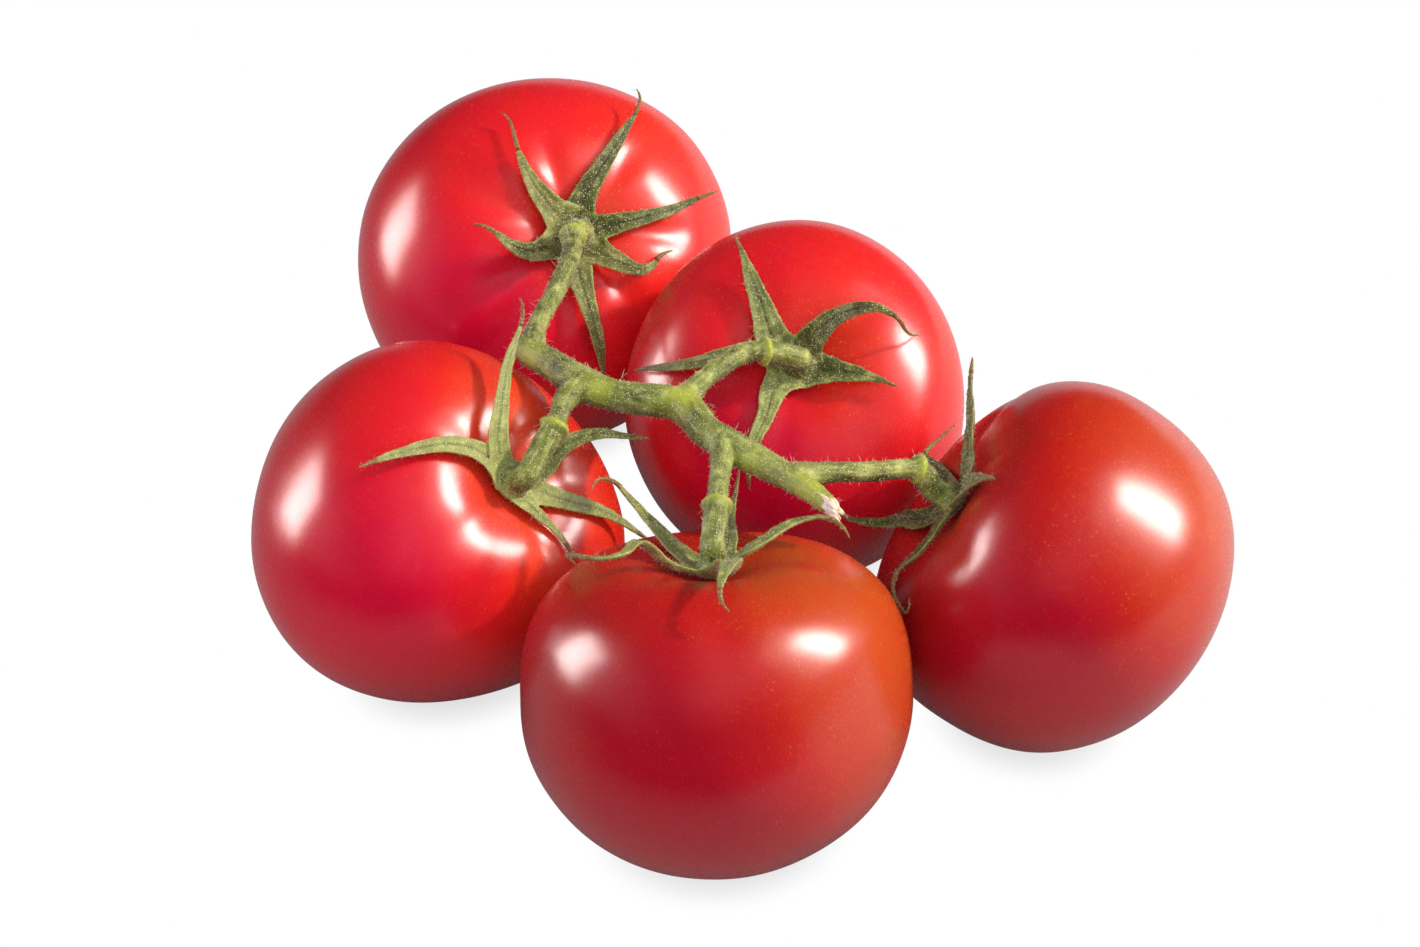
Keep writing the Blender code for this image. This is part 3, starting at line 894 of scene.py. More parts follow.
@dataclass
class Calyx:
    """The green star at the stem end of one tomato."""

    place: Place
    fruit: Fruit
    sepals: tuple[Sepal, ...]
    hub_radius: float = 4.1
    stations: int = 64
    columns: int = 14
    hub_low: float = 1.5
    hub_high: float = 1.3
    root_radius: float = 2.0
    blade_start: float = 2.7
    thickness: float = 0.95
    least_half_width: float = 0.42
    thread_radius: float = 0.36
    thread_end: float = 0.09
    vein_depth: float = 0.16
    wrinkle_size: float = 1.3
    wrinkle_height: float = 0.10
    grid: float = 0.21
    samples: list[Sample] = field(default_factory=list)

    def path(self, sepal: Sepal) -> list[tuple[float, np.ndarray, np.ndarray, np.ndarray]]:
        """Follows a sepal's middle line.

        Args:
            sepal: the sepal.

        Returns:
            The share of the length, the place, the direction and the direction across at each station.
        """
        heading = math.radians(sepal.heading[0])
        start = self.blade_start
        place = np.array((start * math.cos(heading), start * math.sin(heading), self.fruit.hub_height()))
        first, _ = sepal.ahead(0.0)
        rows = [(0.0, place - first * (start - self.root_radius), *sepal.ahead(0.0))]
        for station in range(self.stations + 1):
            share = station / self.stations
            rows.append((share, place, *sepal.ahead(share)))
            middle = min(1.0, share + 0.5 / self.stations)
            place = place + sepal.ahead(middle)[0] * (sepal.length / self.stations)
        return rows

    def add_blade(self, bm: bmesh.types.BMesh, number: int, sepal: Sepal) -> None:
        """Adds the flat part of a sepal as a closed body.

        Args:
            bm: the bmesh that gets it.
            number: the sepal's number.
            sepal: the sepal.
        """
        rings = []
        for share, place, ahead, side in self.path(sepal):
            half = sepal.half_width(share)
            if half < self.least_half_width and len(rings) > 3:
                break
            half = max(half, self.least_half_width)
            normal = np.cross(ahead, side)
            wobble = noise.noise(Vector((share * 7.0, number * 3.1, 0.4 + self.fruit.radius)))
            half *= 1.0 + 0.10 * wobble
            ring = []
            for upper in (1.0, -1.0):
                for column in range(self.columns):
                    t = upper * (1.0 - 2.0 * column / self.columns)
                    body = 0.5 * self.thickness * (1.0 - 0.35 * share) * math.sqrt(max(0.0, 1.0 - abs(t) ** 2.5))
                    edge = noise.noise(Vector((share * 9.0, t * 0.8 + 5.0, number + 2.3 * self.fruit.radius)))
                    lift = sepal.cup * half * (t * t - 0.35) + 0.35 * edge * t * t * min(1.0, 4 * share)
                    point = place + side * (half * t) + normal * (lift + upper * body)
                    ring.append(point)
                    self.samples.append(Sample(tuple(point), share, t, upper, number))
            moved = self.fruit.to_world(np.array(ring)) + sepal.shift(share)
            rings.append([bm.verts.new(v * MM) for v in moved])
        count = len(rings[0])
        for first, second in zip(rings, rings[1:]):
            for n in range(count):
                after = (n + 1) % count
                bm.faces.new((first[n], second[n], second[after], first[after]))
        bm.faces.new(rings[0])
        bm.faces.new(rings[-1][::-1])

    def add_hub(self, bm: bmesh.types.BMesh) -> None:
        """Adds the low dome that the sepals and the stem grow from."""
        made = bmesh.ops.create_uvsphere(bm, u_segments=32, v_segments=20, radius=1.0)
        for vertex in made["verts"]:
            tall = self.hub_high if vertex.co.z > 0 else self.hub_low
            local = np.array(
                (vertex.co.x * self.hub_radius, vertex.co.y * self.hub_radius, vertex.co.z * tall)
            ) + np.array((0.0, 0.0, self.fruit.hub_height()))
            vertex.co = Vector(self.fruit.to_world(local[None])[0]) * MM

    def add_thread(self, bm: bmesh.types.BMesh, sepal: Sepal) -> int:
        """Adds the thin dry end of a sepal, where the blade is too narrow to be flat.

        Args:
            bm: the bmesh that gets it.
            sepal: the sepal.

        Returns:
            How many vertices it has.
        """
        rows = [r for r in self.path(sepal)[1:] if sepal.half_width(r[0]) < self.least_half_width + 0.06]
        if len(rows) < 4:
            return 0
        line = self.fruit.to_world(np.array([row[1] for row in rows]))
        line = line + np.array([sepal.shift(row[0]) for row in rows])
        shares = np.linspace(0.0, 1.0, len(rows))
        radii = self.thread_radius * (1.0 - shares) ** 0.7 + self.thread_end
        before = len(bm.verts)
        sweep(bm, line, radii, 8)
        return len(bm.verts) - before

    def build(self, tissue: bpy.types.Material) -> bpy.types.Object:
        """Builds the calyx.

        Args:
            tissue: its material.

        Returns:
            The calyx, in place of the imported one.
        """
        bm = bmesh.new()
        for number, sepal in enumerate(self.sepals):
            self.add_blade(bm, number, sepal)
        self.add_hub(bm)
        made = fuse(bm, "calyx_body_" + self.place.value, self.grid, 3)
        tree = kdtree.KDTree(len(self.samples))
        for n, place in enumerate(self.fruit.to_world(np.array([s.place for s in self.samples]))):
            tree.insert(place + self.sepals[self.samples[n].owner].shift(self.samples[n].along), n)
        tree.balance()
        places = corners(made)
        found = [self.samples[tree.find(p)[1]] for p in places]
        along = np.array([s.along for s in found])
        across = np.array([s.across for s in found])
        face = np.array([s.face for s in found])
        owner = np.array([s.owner for s in found])
        vein = bell(across, 0.10) + 0.7 * bell(np.abs(across) - 0.5, 0.12)
        fade = np.clip(along * 6.0, 0.0, 1.0) * np.clip((1.0 - along) * 2.0, 0.0, 1.0)
        wrinkle = np.array([noise.noise(Vector(p) / self.wrinkle_size) for p in places])
        move = -self.vein_depth * vein * face * fade + self.wrinkle_height * wrinkle
        set_corners(made, places + normals(made) * move[:, None])
        self.paint_blades(made, along, across, owner)
        made.name = "calyx_" + self.place.value + "_star"
        threads = self.build_threads()
        if threads:
            join(made, threads)
        return dress(made, tissue, Slot.CALYX, "calyx_" + self.place.value)

    def paint_blades(self, obj: bpy.types.Object, along: np.ndarray, across: np.ndarray, owner: np.ndarray) -> None:
        """Stores how pale, dark, limy and dry the calyx is at each vertex."""
        pale = np.array([s.pale for s in self.sepals])[owner]
        shade = np.array([s.shade for s in self.sepals])[owner]
        dry = np.array([s.dry for s in self.sepals])[owner]
        tip = np.clip((along - 0.62) / 0.38, 0.0, 1.0)
        edge = np.clip((np.abs(across) - 0.72) / 0.28, 0.0, 1.0)
        patches = np.array([noise.noise(Vector(p) / 3.0) for p in corners(obj)])
        paint(obj, "pale", pale + 0.35 * edge + 0.4 * np.clip(patches, 0.0, 1.0))
        paint(obj, "shade", shade * (1.0 - 0.4 * edge) + 0.5 * bell(across, 0.13) * np.clip(along * 5, 0, 1))
        paint(obj, "lime", 0.35 * edge * (1.0 - tip))
        paint(obj, "dry", np.clip(dry * (0.25 + 1.1 * tip), 0.0, 0.9))

    def build_threads(self) -> bpy.types.Object | None:
        """Builds the dry ends of the sepals as one object, or nothing if there are none."""
        bm = bmesh.new()
        if not sum(self.add_thread(bm, sepal) for sepal in self.sepals):
            bm.free()
            return None
        made = object_from(bm, "calyx_ends_" + self.place.value)
        count = len(made.data.vertices)
        for name, value in (("pale", 0.2), ("shade", 0.2), ("lime", 0.0), ("dry", 0.8)):
            paint(made, name, np.full(count, value))
        return made


def join(obj: bpy.types.Object, other: bpy.types.Object) -> None:
    """Adds another object's mesh to the first one and removes the other."""
    with bpy.context.temp_override(active_object=obj, selected_editable_objects=[obj, other]):
        bpy.ops.object.join()


# Stem


@dataclass(frozen=True)
class Tint:
    """A patch of colour on the stem: where it is, how far it reaches and which layer it is in."""

    layer: str
    place: tuple[float, float, float]
    reach: float
    strength: float = 1.0


@dataclass
class TrussStem:
    """The main stem with its side stems, their flared roots, and the knuckles where ripe fruit breaks off."""

    fruits: dict[Place, Fruit]
    main: tuple[tuple[tuple[float, float, float], float], ...]
    sides: dict[Place, tuple[tuple[float, float, float], ...]]
    knuckle_points: dict[Place, int]
    tints: tuple[Tint, ...]
    side_radius: float = 1.72
    root_radius: float = 2.75
    past_radius: float = 2.1
    root_reach: float = 4.2
    past_blend: float = 0.35
    knuckle_swell: float = 0.85
    knuckle_width: float = 0.62
    groove_depth: float = 0.2
    groove_at: float = 1.25
    groove_width: float = 0.4
    foot_swell: float = 0.9
    foot_reach: float = 1.5
    foot_heights: tuple[float, ...] = (3.0, 0.2, -1.4)
    foot_gap: float = 0.4
    lime_reach: float = 5.0
    grain_size: float = 2.4
    grain_height: float = 0.12
    pore_size: float = 0.7
    pore_height: float = 0.05
    ridge_height: float = 0.09
    ridges_round: float = 4.6
    ridges_along: float = 0.10
    grid: float = 0.24
    rings: list[tuple[np.ndarray, np.ndarray]] = field(default_factory=list)
    lines: list[np.ndarray] = field(default_factory=list)

    def side_line(self, place: Place) -> tuple[np.ndarray, float]:
        """Middle line of a side stem down into its calyx.

        Args:
            place: the tomato that it carries.

        Returns:
            The line in millimetres, and the distance along it to the knuckle.
        """
        fruit = self.fruits[place]
        shift = np.array(SHIFT)
        points = [np.array(p) + shift for p in self.sides[place]]
        height = fruit.hub_height() + 0.5 * HUB_THICKNESS + self.foot_gap
        for over in self.foot_heights:
            points.append(fruit.to_world(np.array((0.0, 0.0, height + over))[None])[0])
        line = smooth_line(np.array(points), STEM_STEPS)
        knuckle = lengths_along(line)[self.knuckle_points[place] * STEM_STEPS]
        return line, knuckle

    def build(self, tissue: bpy.types.Material) -> bpy.types.Object:
        """Builds the stem.

        Args:
            tissue: its material.

        Returns:
            The stem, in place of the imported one.
        """
        bm = bmesh.new()
        rows = np.array([(*(np.array(p) + np.array(SHIFT)), r) for p, r in self.main])
        line = smooth_line(rows, STEM_STEPS)
        sweep(bm, line[:, :3], line[:, 3], 28, 0.02)
        self.lines.append(line[:, :3])
        for end in (line[0], line[-1]):
            cap = bmesh.ops.create_icosphere(bm, subdivisions=3, radius=(end[3] * 0.99) * MM)
            bmesh.ops.translate(bm, verts=cap["verts"], vec=Vector(end[:3]) * MM)
        for place in self.sides:
            side, knuckle = self.side_line(place)
            run = lengths_along(side)
            left = run[-1] - run
            radii = self.side_radius + (self.root_radius - self.side_radius) * bell(run, self.root_reach)
            past = 1.0 / (1.0 + np.exp(-(run - knuckle) / self.past_blend))
            radii = radii + (self.past_radius - self.side_radius) * past
            radii = radii + self.knuckle_swell * bell(run - knuckle, self.knuckle_width)
            radii = radii - self.groove_depth * bell(np.abs(run - knuckle) - self.groove_at, self.groove_width)
            radii = radii + self.foot_swell * bell(left, self.foot_reach)
            sweep(bm, side, radii, 26, 0.018)
            self.lines.append(side)
            middle = int(np.argmin(np.abs(run - knuckle)))
            direction = side[middle + 1] - side[middle - 1]
            self.rings.append((side[middle], direction / np.linalg.norm(direction)))
        made = fuse(bm, "truss_stem_grown", self.grid, 3)
        places = corners(made)
        grain = np.array([noise.noise(Vector(p) / self.grain_size) for p in places])
        pores = np.array([noise.noise(Vector(p) / self.pore_size) for p in places])
        ridges = self.ridges(places)
        relief = self.grain_height * grain + self.pore_height * pores + self.ridge_height * ridges
        set_corners(made, places + normals(made) * relief[:, None])
        self.paint_stem(made, places, ridges)
        return dress(made, tissue, Slot.STEM, "truss_stem")

    def ridges(self, places: np.ndarray) -> np.ndarray:
        """Height of the fine ridges that run along the stems.

        Args:
            places: points on the skin in millimetres.

        Returns:
            A value from -1 to 1 for each point.
        """
        middles = np.vstack([line[:-1] for line in self.lines])
        ahead = np.vstack([np.diff(line, axis=0) for line in self.lines])
        ahead /= np.linalg.norm(ahead, axis=1, keepdims=True)
        # Each stem starts 60 mm further along the pattern, so that no two have the same ridges
        run = np.concatenate([lengths_along(line)[:-1] + 60.0 * n for n, line in enumerate(self.lines)])
        tree = kdtree.KDTree(len(middles))
        for n, place in enumerate(middles):
            tree.insert(place, n)
        tree.balance()
        nearest = np.array([tree.find(p)[1] for p in places])
        spoke = places - middles[nearest]
        direction = ahead[nearest]
        along = run[nearest] + (spoke * direction).sum(axis=1)
        spoke = spoke - direction * (spoke * direction).sum(axis=1, keepdims=True)
        spoke /= np.linalg.norm(spoke, axis=1, keepdims=True) + 1e-9
        rows = np.hstack([spoke * self.ridges_round, along[:, None] * self.ridges_along])
        return np.array([noise.noise(Vector((x + t, y - t, z + 2.0 * t))) for x, y, z, t in rows])

    def paint_stem(self, obj: bpy.types.Object, places: np.ndarray, ridges: np.ndarray) -> None:
        """Stores how pale, dark, limy and dry the stem is at each vertex, with painted shade on the undersides and in
        the ridges' grooves and painted light on the ridges' tops.
        """
        layers = {name: np.zeros(len(places)) for name in ("pale", "shade", "lime", "dry")}
        # Painted shade on the undersides, and painted shade and painted light following the ridges' grooves and tops
        under = np.clip(0.2 - 1.1 * normals(obj)[:, 2], 0.0, 0.9)
        layers["shade"] = np.maximum(under, np.clip(-0.9 * ridges - 0.1, 0.0, 0.35))
        layers["pale"] = np.clip(1.0 * ridges - 0.1, 0.0, 0.4) * (1.0 - under)
        for tint in self.tints:
            apart = np.linalg.norm(places - (np.array(tint.place) + np.array(SHIFT)), axis=1)
            layers[tint.layer] = np.maximum(layers[tint.layer], tint.strength * bell(apart, tint.reach))
        for middle, direction in self.rings:
            offset = places - middle
            ahead = offset @ direction
            near = np.linalg.norm(offset, axis=1) < self.lime_reach
            layers["lime"] = np.maximum(layers["lime"], near * bell(ahead, self.knuckle_width))
        layers["shade"] *= 1.0 - 0.8 * layers["lime"]
        for name, values in layers.items():
            paint(obj, name, values)


@dataclass
class TornEnd:
    """The dry fibres where the main stem was torn off."""

    start: tuple[float, float, float]
    before: tuple[float, float, float]
    radius: float = 1.3
    fibres: int = 13
    longest: float = 5.6
    turn_step: float = 2.4
    sunk: float = 1.2
    droop: float = 0.5
    curl: float = 0.28
    thickest: float = 0.62
    end_radius: float = 0.07

    def build(self, fibre: bpy.types.Material) -> bpy.types.Object:
        """Builds the torn end.

        Args:
            fibre: its material.

        Returns:
            The torn end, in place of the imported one.
        """
        draw = np.random.RandomState(SEED + 3)
        start = np.array(self.start) + np.array(SHIFT)
        ahead = start - (np.array(self.before) + np.array(SHIFT))
        ahead /= np.linalg.norm(ahead)
        across = np.cross(ahead, (0.0, 0.0, 1.0))
        across /= np.linalg.norm(across)
        upward = np.cross(across, ahead)
        bm = bmesh.new()
        for n in range(self.fibres):
            turn = self.turn_step * n
            out = self.radius * math.sqrt((n + 0.5) / self.fibres)
            spoke = across * math.cos(turn) + upward * math.sin(turn)
            low = 0.5 - 0.5 * math.sin(turn)
            length = self.longest * (0.45 + 0.40 * low * draw.rand() + 0.15 * draw.rand())
            root = start - self.sunk * ahead + 0.82 * out * spoke
            bend = self.curl * draw.randn(3) - np.array((0.0, 0.0, self.droop))
            points = np.array(
                [
                    root,
                    root + 0.5 * (length + self.sunk) * ahead + 0.10 * out * spoke,
                    root + (0.8 * length + 1.0) * ahead + 0.12 * out * spoke + 0.4 * bend,
                    root + (length + self.sunk) * ahead + 0.15 * out * spoke + bend,
                ]
            )
            line = smooth_line(points, 5)
            shares = np.linspace(0.0, 1.0, len(line))
            thick = self.thickest - 0.22 * draw.rand()
            sweep(bm, line, thick * (1.0 - shares**2.2) + self.end_radius, 9, 0.06)
        made = object_from(bm, "torn_end_fibres")
        return dress(made, fibre, Slot.FIBRE, "torn_end")


# Hairs


@dataclass
class HairCoat:
    """Fine hairs that stand out of a green piece."""

    name: str
    count: int
    shortest: float
    longest: float
    thickness: float
    spread: float
    seed: int
    curl: float = 0.28
    droop: float = 0.08
    corners_round: int = 3

    def build(self, carrier: bpy.types.Object, hair: bpy.types.Material, slot: Slot) -> bpy.types.Object:
        """Grows the hairs on a piece.

        Args:
            carrier: the piece that they stand on.
            hair: their material.
            slot: the record's slot that they take their finish from.

        Returns:
            The hairs as one piece.
        """
        draw = np.random.RandomState(self.seed)
        mesh = carrier.data
        mesh.calc_loop_triangles()
        flat = np.empty(len(mesh.loop_triangles) * 3, np.int32)
        mesh.loop_triangles.foreach_get("vertices", flat)
        triangles = flat.reshape(-1, 3)
        places, outward = corners(carrier), normals(carrier)
        a, b, c = (places[triangles[:, k]] for k in range(3))
        weight = np.linalg.norm(np.cross(b - a, c - a), axis=1)
        chosen = draw.choice(len(triangles), self.count, p=weight / weight.sum())
        mix = draw.dirichlet((1.0, 1.0, 1.0), self.count)
        roots = (places[triangles[chosen]] * mix[:, :, None]).sum(axis=1)
        stand = (outward[triangles[chosen]] * mix[:, :, None]).sum(axis=1)
        stand /= np.linalg.norm(stand, axis=1, keepdims=True) + 1e-9
        lean = stand + self.spread * draw.randn(self.count, 3)
        lean /= np.linalg.norm(lean, axis=1, keepdims=True)
        length = self.shortest * (self.longest / self.shortest) ** (draw.rand(self.count) ** 2.0)
        bend = self.curl * draw.randn(self.count, 3) - np.array((0.0, 0.0, self.droop))
        verts, faces, along = [], [], []
        for root, direction, reach, curl in zip(roots, lean, length, bend):
            side = np.cross(direction, (0.3, 0.5, 0.8))
            side /= np.linalg.norm(side) + 1e-9
            other = np.cross(direction, side)
            middle = root + 0.55 * reach * direction + 0.25 * reach * curl
            tip = root + reach * direction + reach * curl
            first = len(verts)
            for place, width, share in ((root - 0.1 * direction, 1.0, 0.0), (middle, 0.75, 0.6)):
                for turn in (2 * math.pi * k / self.corners_round for k in range(self.corners_round)):
                    spoke = side * math.cos(turn) + other * math.sin(turn)
                    verts.append(place + self.thickness * width * spoke)
                    along.append(share)
            verts.append(tip)
            along.append(1.0)
            count = self.corners_round
            for k in range(count):
                after = (k + 1) % count
                faces.append((first + k, first + after, first + count + after, first + count + k))
                faces.append((first + count + k, first + count + after, first + 2 * count))
            faces.append(tuple(first + k for k in reversed(range(count))))
        made_mesh = bpy.data.meshes.new(self.name)
        made_mesh.from_pydata(np.array(verts) * MM, [], faces)
        made = bpy.data.objects.new(self.name, made_mesh)
        bpy.context.scene.collection.objects.link(made)
        paint(made, "along", np.array(along))
        return dress(made, hair, slot)


# Studio


@dataclass(frozen=True)
class SoftLight:
    """A rectangular studio light turned to the truss; its distance and sides are in metres."""

    name: str
    azimuth: float
    elevation: float
    distance: float
    width: float
    height: float
    radiance: float
    colour: str = "#ffffff"
    shines: bool = True
    fills: bool = True

    def build(self, target: Vector) -> None:
        """Hangs the light.

        Args:
            target: the point that it faces.
        """
        data = bpy.data.lights.new(self.name, "AREA")
        data.shape = "RECTANGLE"
        data.size, data.size_y = self.width, self.height
        data.energy = self.radiance * math.pi * self.width * self.height
        data.color = linear(self.colour)[:3]
        turn, rise = math.radians(self.azimuth), math.radians(self.elevation)
        away = Vector((math.sin(turn) * math.cos(rise), -math.cos(turn) * math.cos(rise), math.sin(rise)))
        lamp = bpy.data.objects.new(self.name, data)
        lamp.location = target + away * self.distance
        lamp.rotation_euler = (-away).to_track_quat("-Z", "Y").to_euler()
        lamp.visible_camera = False
        lamp.visible_glossy = self.shines
        lamp.visible_diffuse = self.fills
        bpy.context.scene.collection.objects.link(lamp)


@dataclass(frozen=True)
class Glow:
    """A soft bright part of the room, such as a lit wall."""

    azimuth: float
    elevation: float
    tightness: float
    strength: float

    def direction(self) -> tuple[float, float, float]:
        """Where it is, seen from the truss."""
        turn, rise = math.radians(self.azimuth), math.radians(self.elevation)
        return math.sin(turn) * math.cos(rise), -math.cos(turn) * math.cos(rise), math.sin(rise)


@dataclass
class Studio:
    """Camera, lights, surroundings and the pale floor."""

    target: Vector
    elevation: float = VIEW_ELEVATION
    distance: float = 0.9186
    pixels_per_mm: float = 5.6
    sensor: float = 36.0
    lights: tuple[SoftLight, ...] = ()
    glows: tuple[Glow, ...] = ()
    room_tint: str = "#f6f0ff"
    floor_size: float = 6.0
    floor_drop: float = 0.05

    def build(self) -> None:
        """Sets up the studio."""
        self.build_camera()
        self.build_floor()
        self.build_world()
        for light in self.lights:
            light.build(self.target)
        settings = bpy.context.scene.view_settings
        settings.view_transform = "Standard"
        settings.look = "None"

    def build_camera(self) -> None:
        """Puts the camera at the chosen viewing angle, at the photograph's scale."""
        rise = math.radians(self.elevation)
        back = Vector((0.0, -math.cos(rise), math.sin(rise)))
        data = bpy.data.cameras.new("camera")
        data.sensor_width = self.sensor
        data.lens = self.sensor * self.pixels_per_mm * (self.distance / MM) / IMAGE_WIDTH
        data.clip_start, data.clip_end = 0.05, 20.0
        camera = bpy.data.objects.new("camera", data)
        camera.location = self.target + back * self.distance
        camera.rotation_euler = (-back).to_track_quat("-Z", "Y").to_euler()
        bpy.context.scene.collection.objects.link(camera)
        bpy.context.scene.camera = camera

    def build_floor(self) -> None:
        """Lays the pale floor that the tomatoes rest on."""
        bm = bmesh.new()
        bmesh.ops.create_grid(bm, x_segments=8, y_segments=8, size=self.floor_size)
        bmesh.ops.translate(bm, verts=bm.verts, vec=(0.0, 0.0, -self.floor_drop * MM))
        floor = object_from(bm, "pale_floor")
        floor.data.materials.append(PaleFloor().material())

    def build_world(self) -> None:
        """Surrounds the truss with a few soft glows for the skin to mirror, on a white background."""
        world = bpy.data.worlds.new("soft_room")
        bpy.context.scene.world = world
        world.use_nodes = True
        tree = world.node_tree
        tree.nodes.clear()
        output = add(tree, "OutputWorld")
        ray = add(tree, "TexCoord").outputs["Generated"]
        total = None
        for glow in self.glows:
            near = add(tree, "VectorMath", {"operation": "DOT_PRODUCT", 1: glow.direction()}, {0: ray})
            fall = add(
                tree, "Math", {"operation": "MULTIPLY_ADD", 1: glow.tightness, 2: -glow.tightness},
                {0: near.outputs["Value"]},
            )
            lobe = add(tree, "Math", {"operation": "EXPONENT"}, {0: fall.outputs[0]})
            part = add(tree, "Math", {"operation": "MULTIPLY_ADD", 1: glow.strength, 2: 0.0}, {0: lobe.outputs[0]})
            if total is not None:
                tree.links.new(total, part.inputs[2])
            total = part.outputs[0]
        room = add(tree, "Background", {"Color": linear(self.room_tint)}, {"Strength": total})
        white = add(tree, "Background", {"Color": (1.0, 1.0, 1.0, 1.0), "Strength": 1.0})
        path = add(tree, "LightPath")
        both = add(
            tree, "MixShader", {}, {0: path.outputs["Is Camera Ray"], 1: room.outputs[0], 2: white.outputs[0]}
        )
        tree.links.new(both.outputs[0], output.inputs["Surface"])


# Each tomato as fitted to the photograph's outlines, with the viewing angle held at the chosen one; a fold has its
# angle, depth, width, start and end
FRUITS = {
    Place.BACK_LEFT: Fruit(
        (-30.9, 57.3), 45.3, -67.3, 34.8, 0.78, 0.84, 2.07, 1.90, (0.0, 0.029), (-0.004, 0.013), 7, 0.9, 12,
        (Fold(-122, 1.5, 3.4, 0.22, 0.95), Fold(-73, 0.9, 2.4, 0.22, 0.7), Fold(-48, 0.6, 3.4, 0.22, 0.8),
         Fold(-146, 0.4, 3.2, 0.25, 0.8), Fold(150, 0.2, 3.8, 0.25, 0.8), Fold(10, 0.15, 3.8, 0.3, 0.8)),
    ),
    Place.BACK_RIGHT: Fruit(
        (15.5, 14.2), 36.4, -90.7, 31.4, 0.81, 0.89, 2.44, 2.33, (-0.027, -0.004), (-0.008, -0.003), 5, 0.5, 40,
        (Fold(128, 0.3, 3.2, 0.25, 0.75), Fold(-160, 0.4, 3.4, 0.22, 0.7), Fold(-48, 0.4, 3.6, 0.35, 0.95)),
    ),
    Place.LEFT: Fruit(
        (-47.8, -22.6), 44.9, -32.4, 32.4, 0.83, 0.88, 2.21, 2.18, (0.022, 0.019), (0.037, 0.002), 5, 0.6, 25,
        (Fold(-93, 0.4, 3.2, 0.18, 0.85), Fold(25, 0.12, 3.6, 0.25, 0.85), Fold(-20, 0.1, 3.4, 0.3, 0.9)),
    ),
    Place.FRONT: Fruit(
        (1.1, -67.8), 22.6, 93.5, 33.1, 0.82, 0.876, 2.87, 2.00, (-0.006, 0.016), (0.001, 0.014), 5, 0.4, 10,
        (Fold(-86, 0.8, 3.6, 0.3, 1.0), Fold(-11, 0.5, 2.4, 0.25, 0.7), Fold(160, 0.7, 2.4, 0.25, 0.7)),
    ),
    Place.RIGHT: Fruit(
        (59.0, -36.4), 54.0, 171.5, 32.1, 0.79, 0.88, 2.57, 2.25, (0.018, -0.01), (-0.017, 0.014), 5, 0.6, 60,
        (Fold(52, 0.9, 3.0, 0.25, 0.9), Fold(-40, 0.3, 3.0, 0.3, 0.7), Fold(-106, 0.3, 3.4, 0.3, 0.8)),
    ),
}

# How golden the side of each tomato facing the key light is painted, as painted light, and how brown all its skin is
RIPENESS_AND_PAINTED_LIGHT = {
    Place.BACK_LEFT: RipenessAndPaintedLight(0.1, 0.0),
    Place.BACK_RIGHT: RipenessAndPaintedLight(0.1, 0.2),
    Place.LEFT: RipenessAndPaintedLight(0.25, 0.2),
    Place.FRONT: RipenessAndPaintedLight(0.58, 1.0),
    Place.RIGHT: RipenessAndPaintedLight(0.45, 1.0),
}

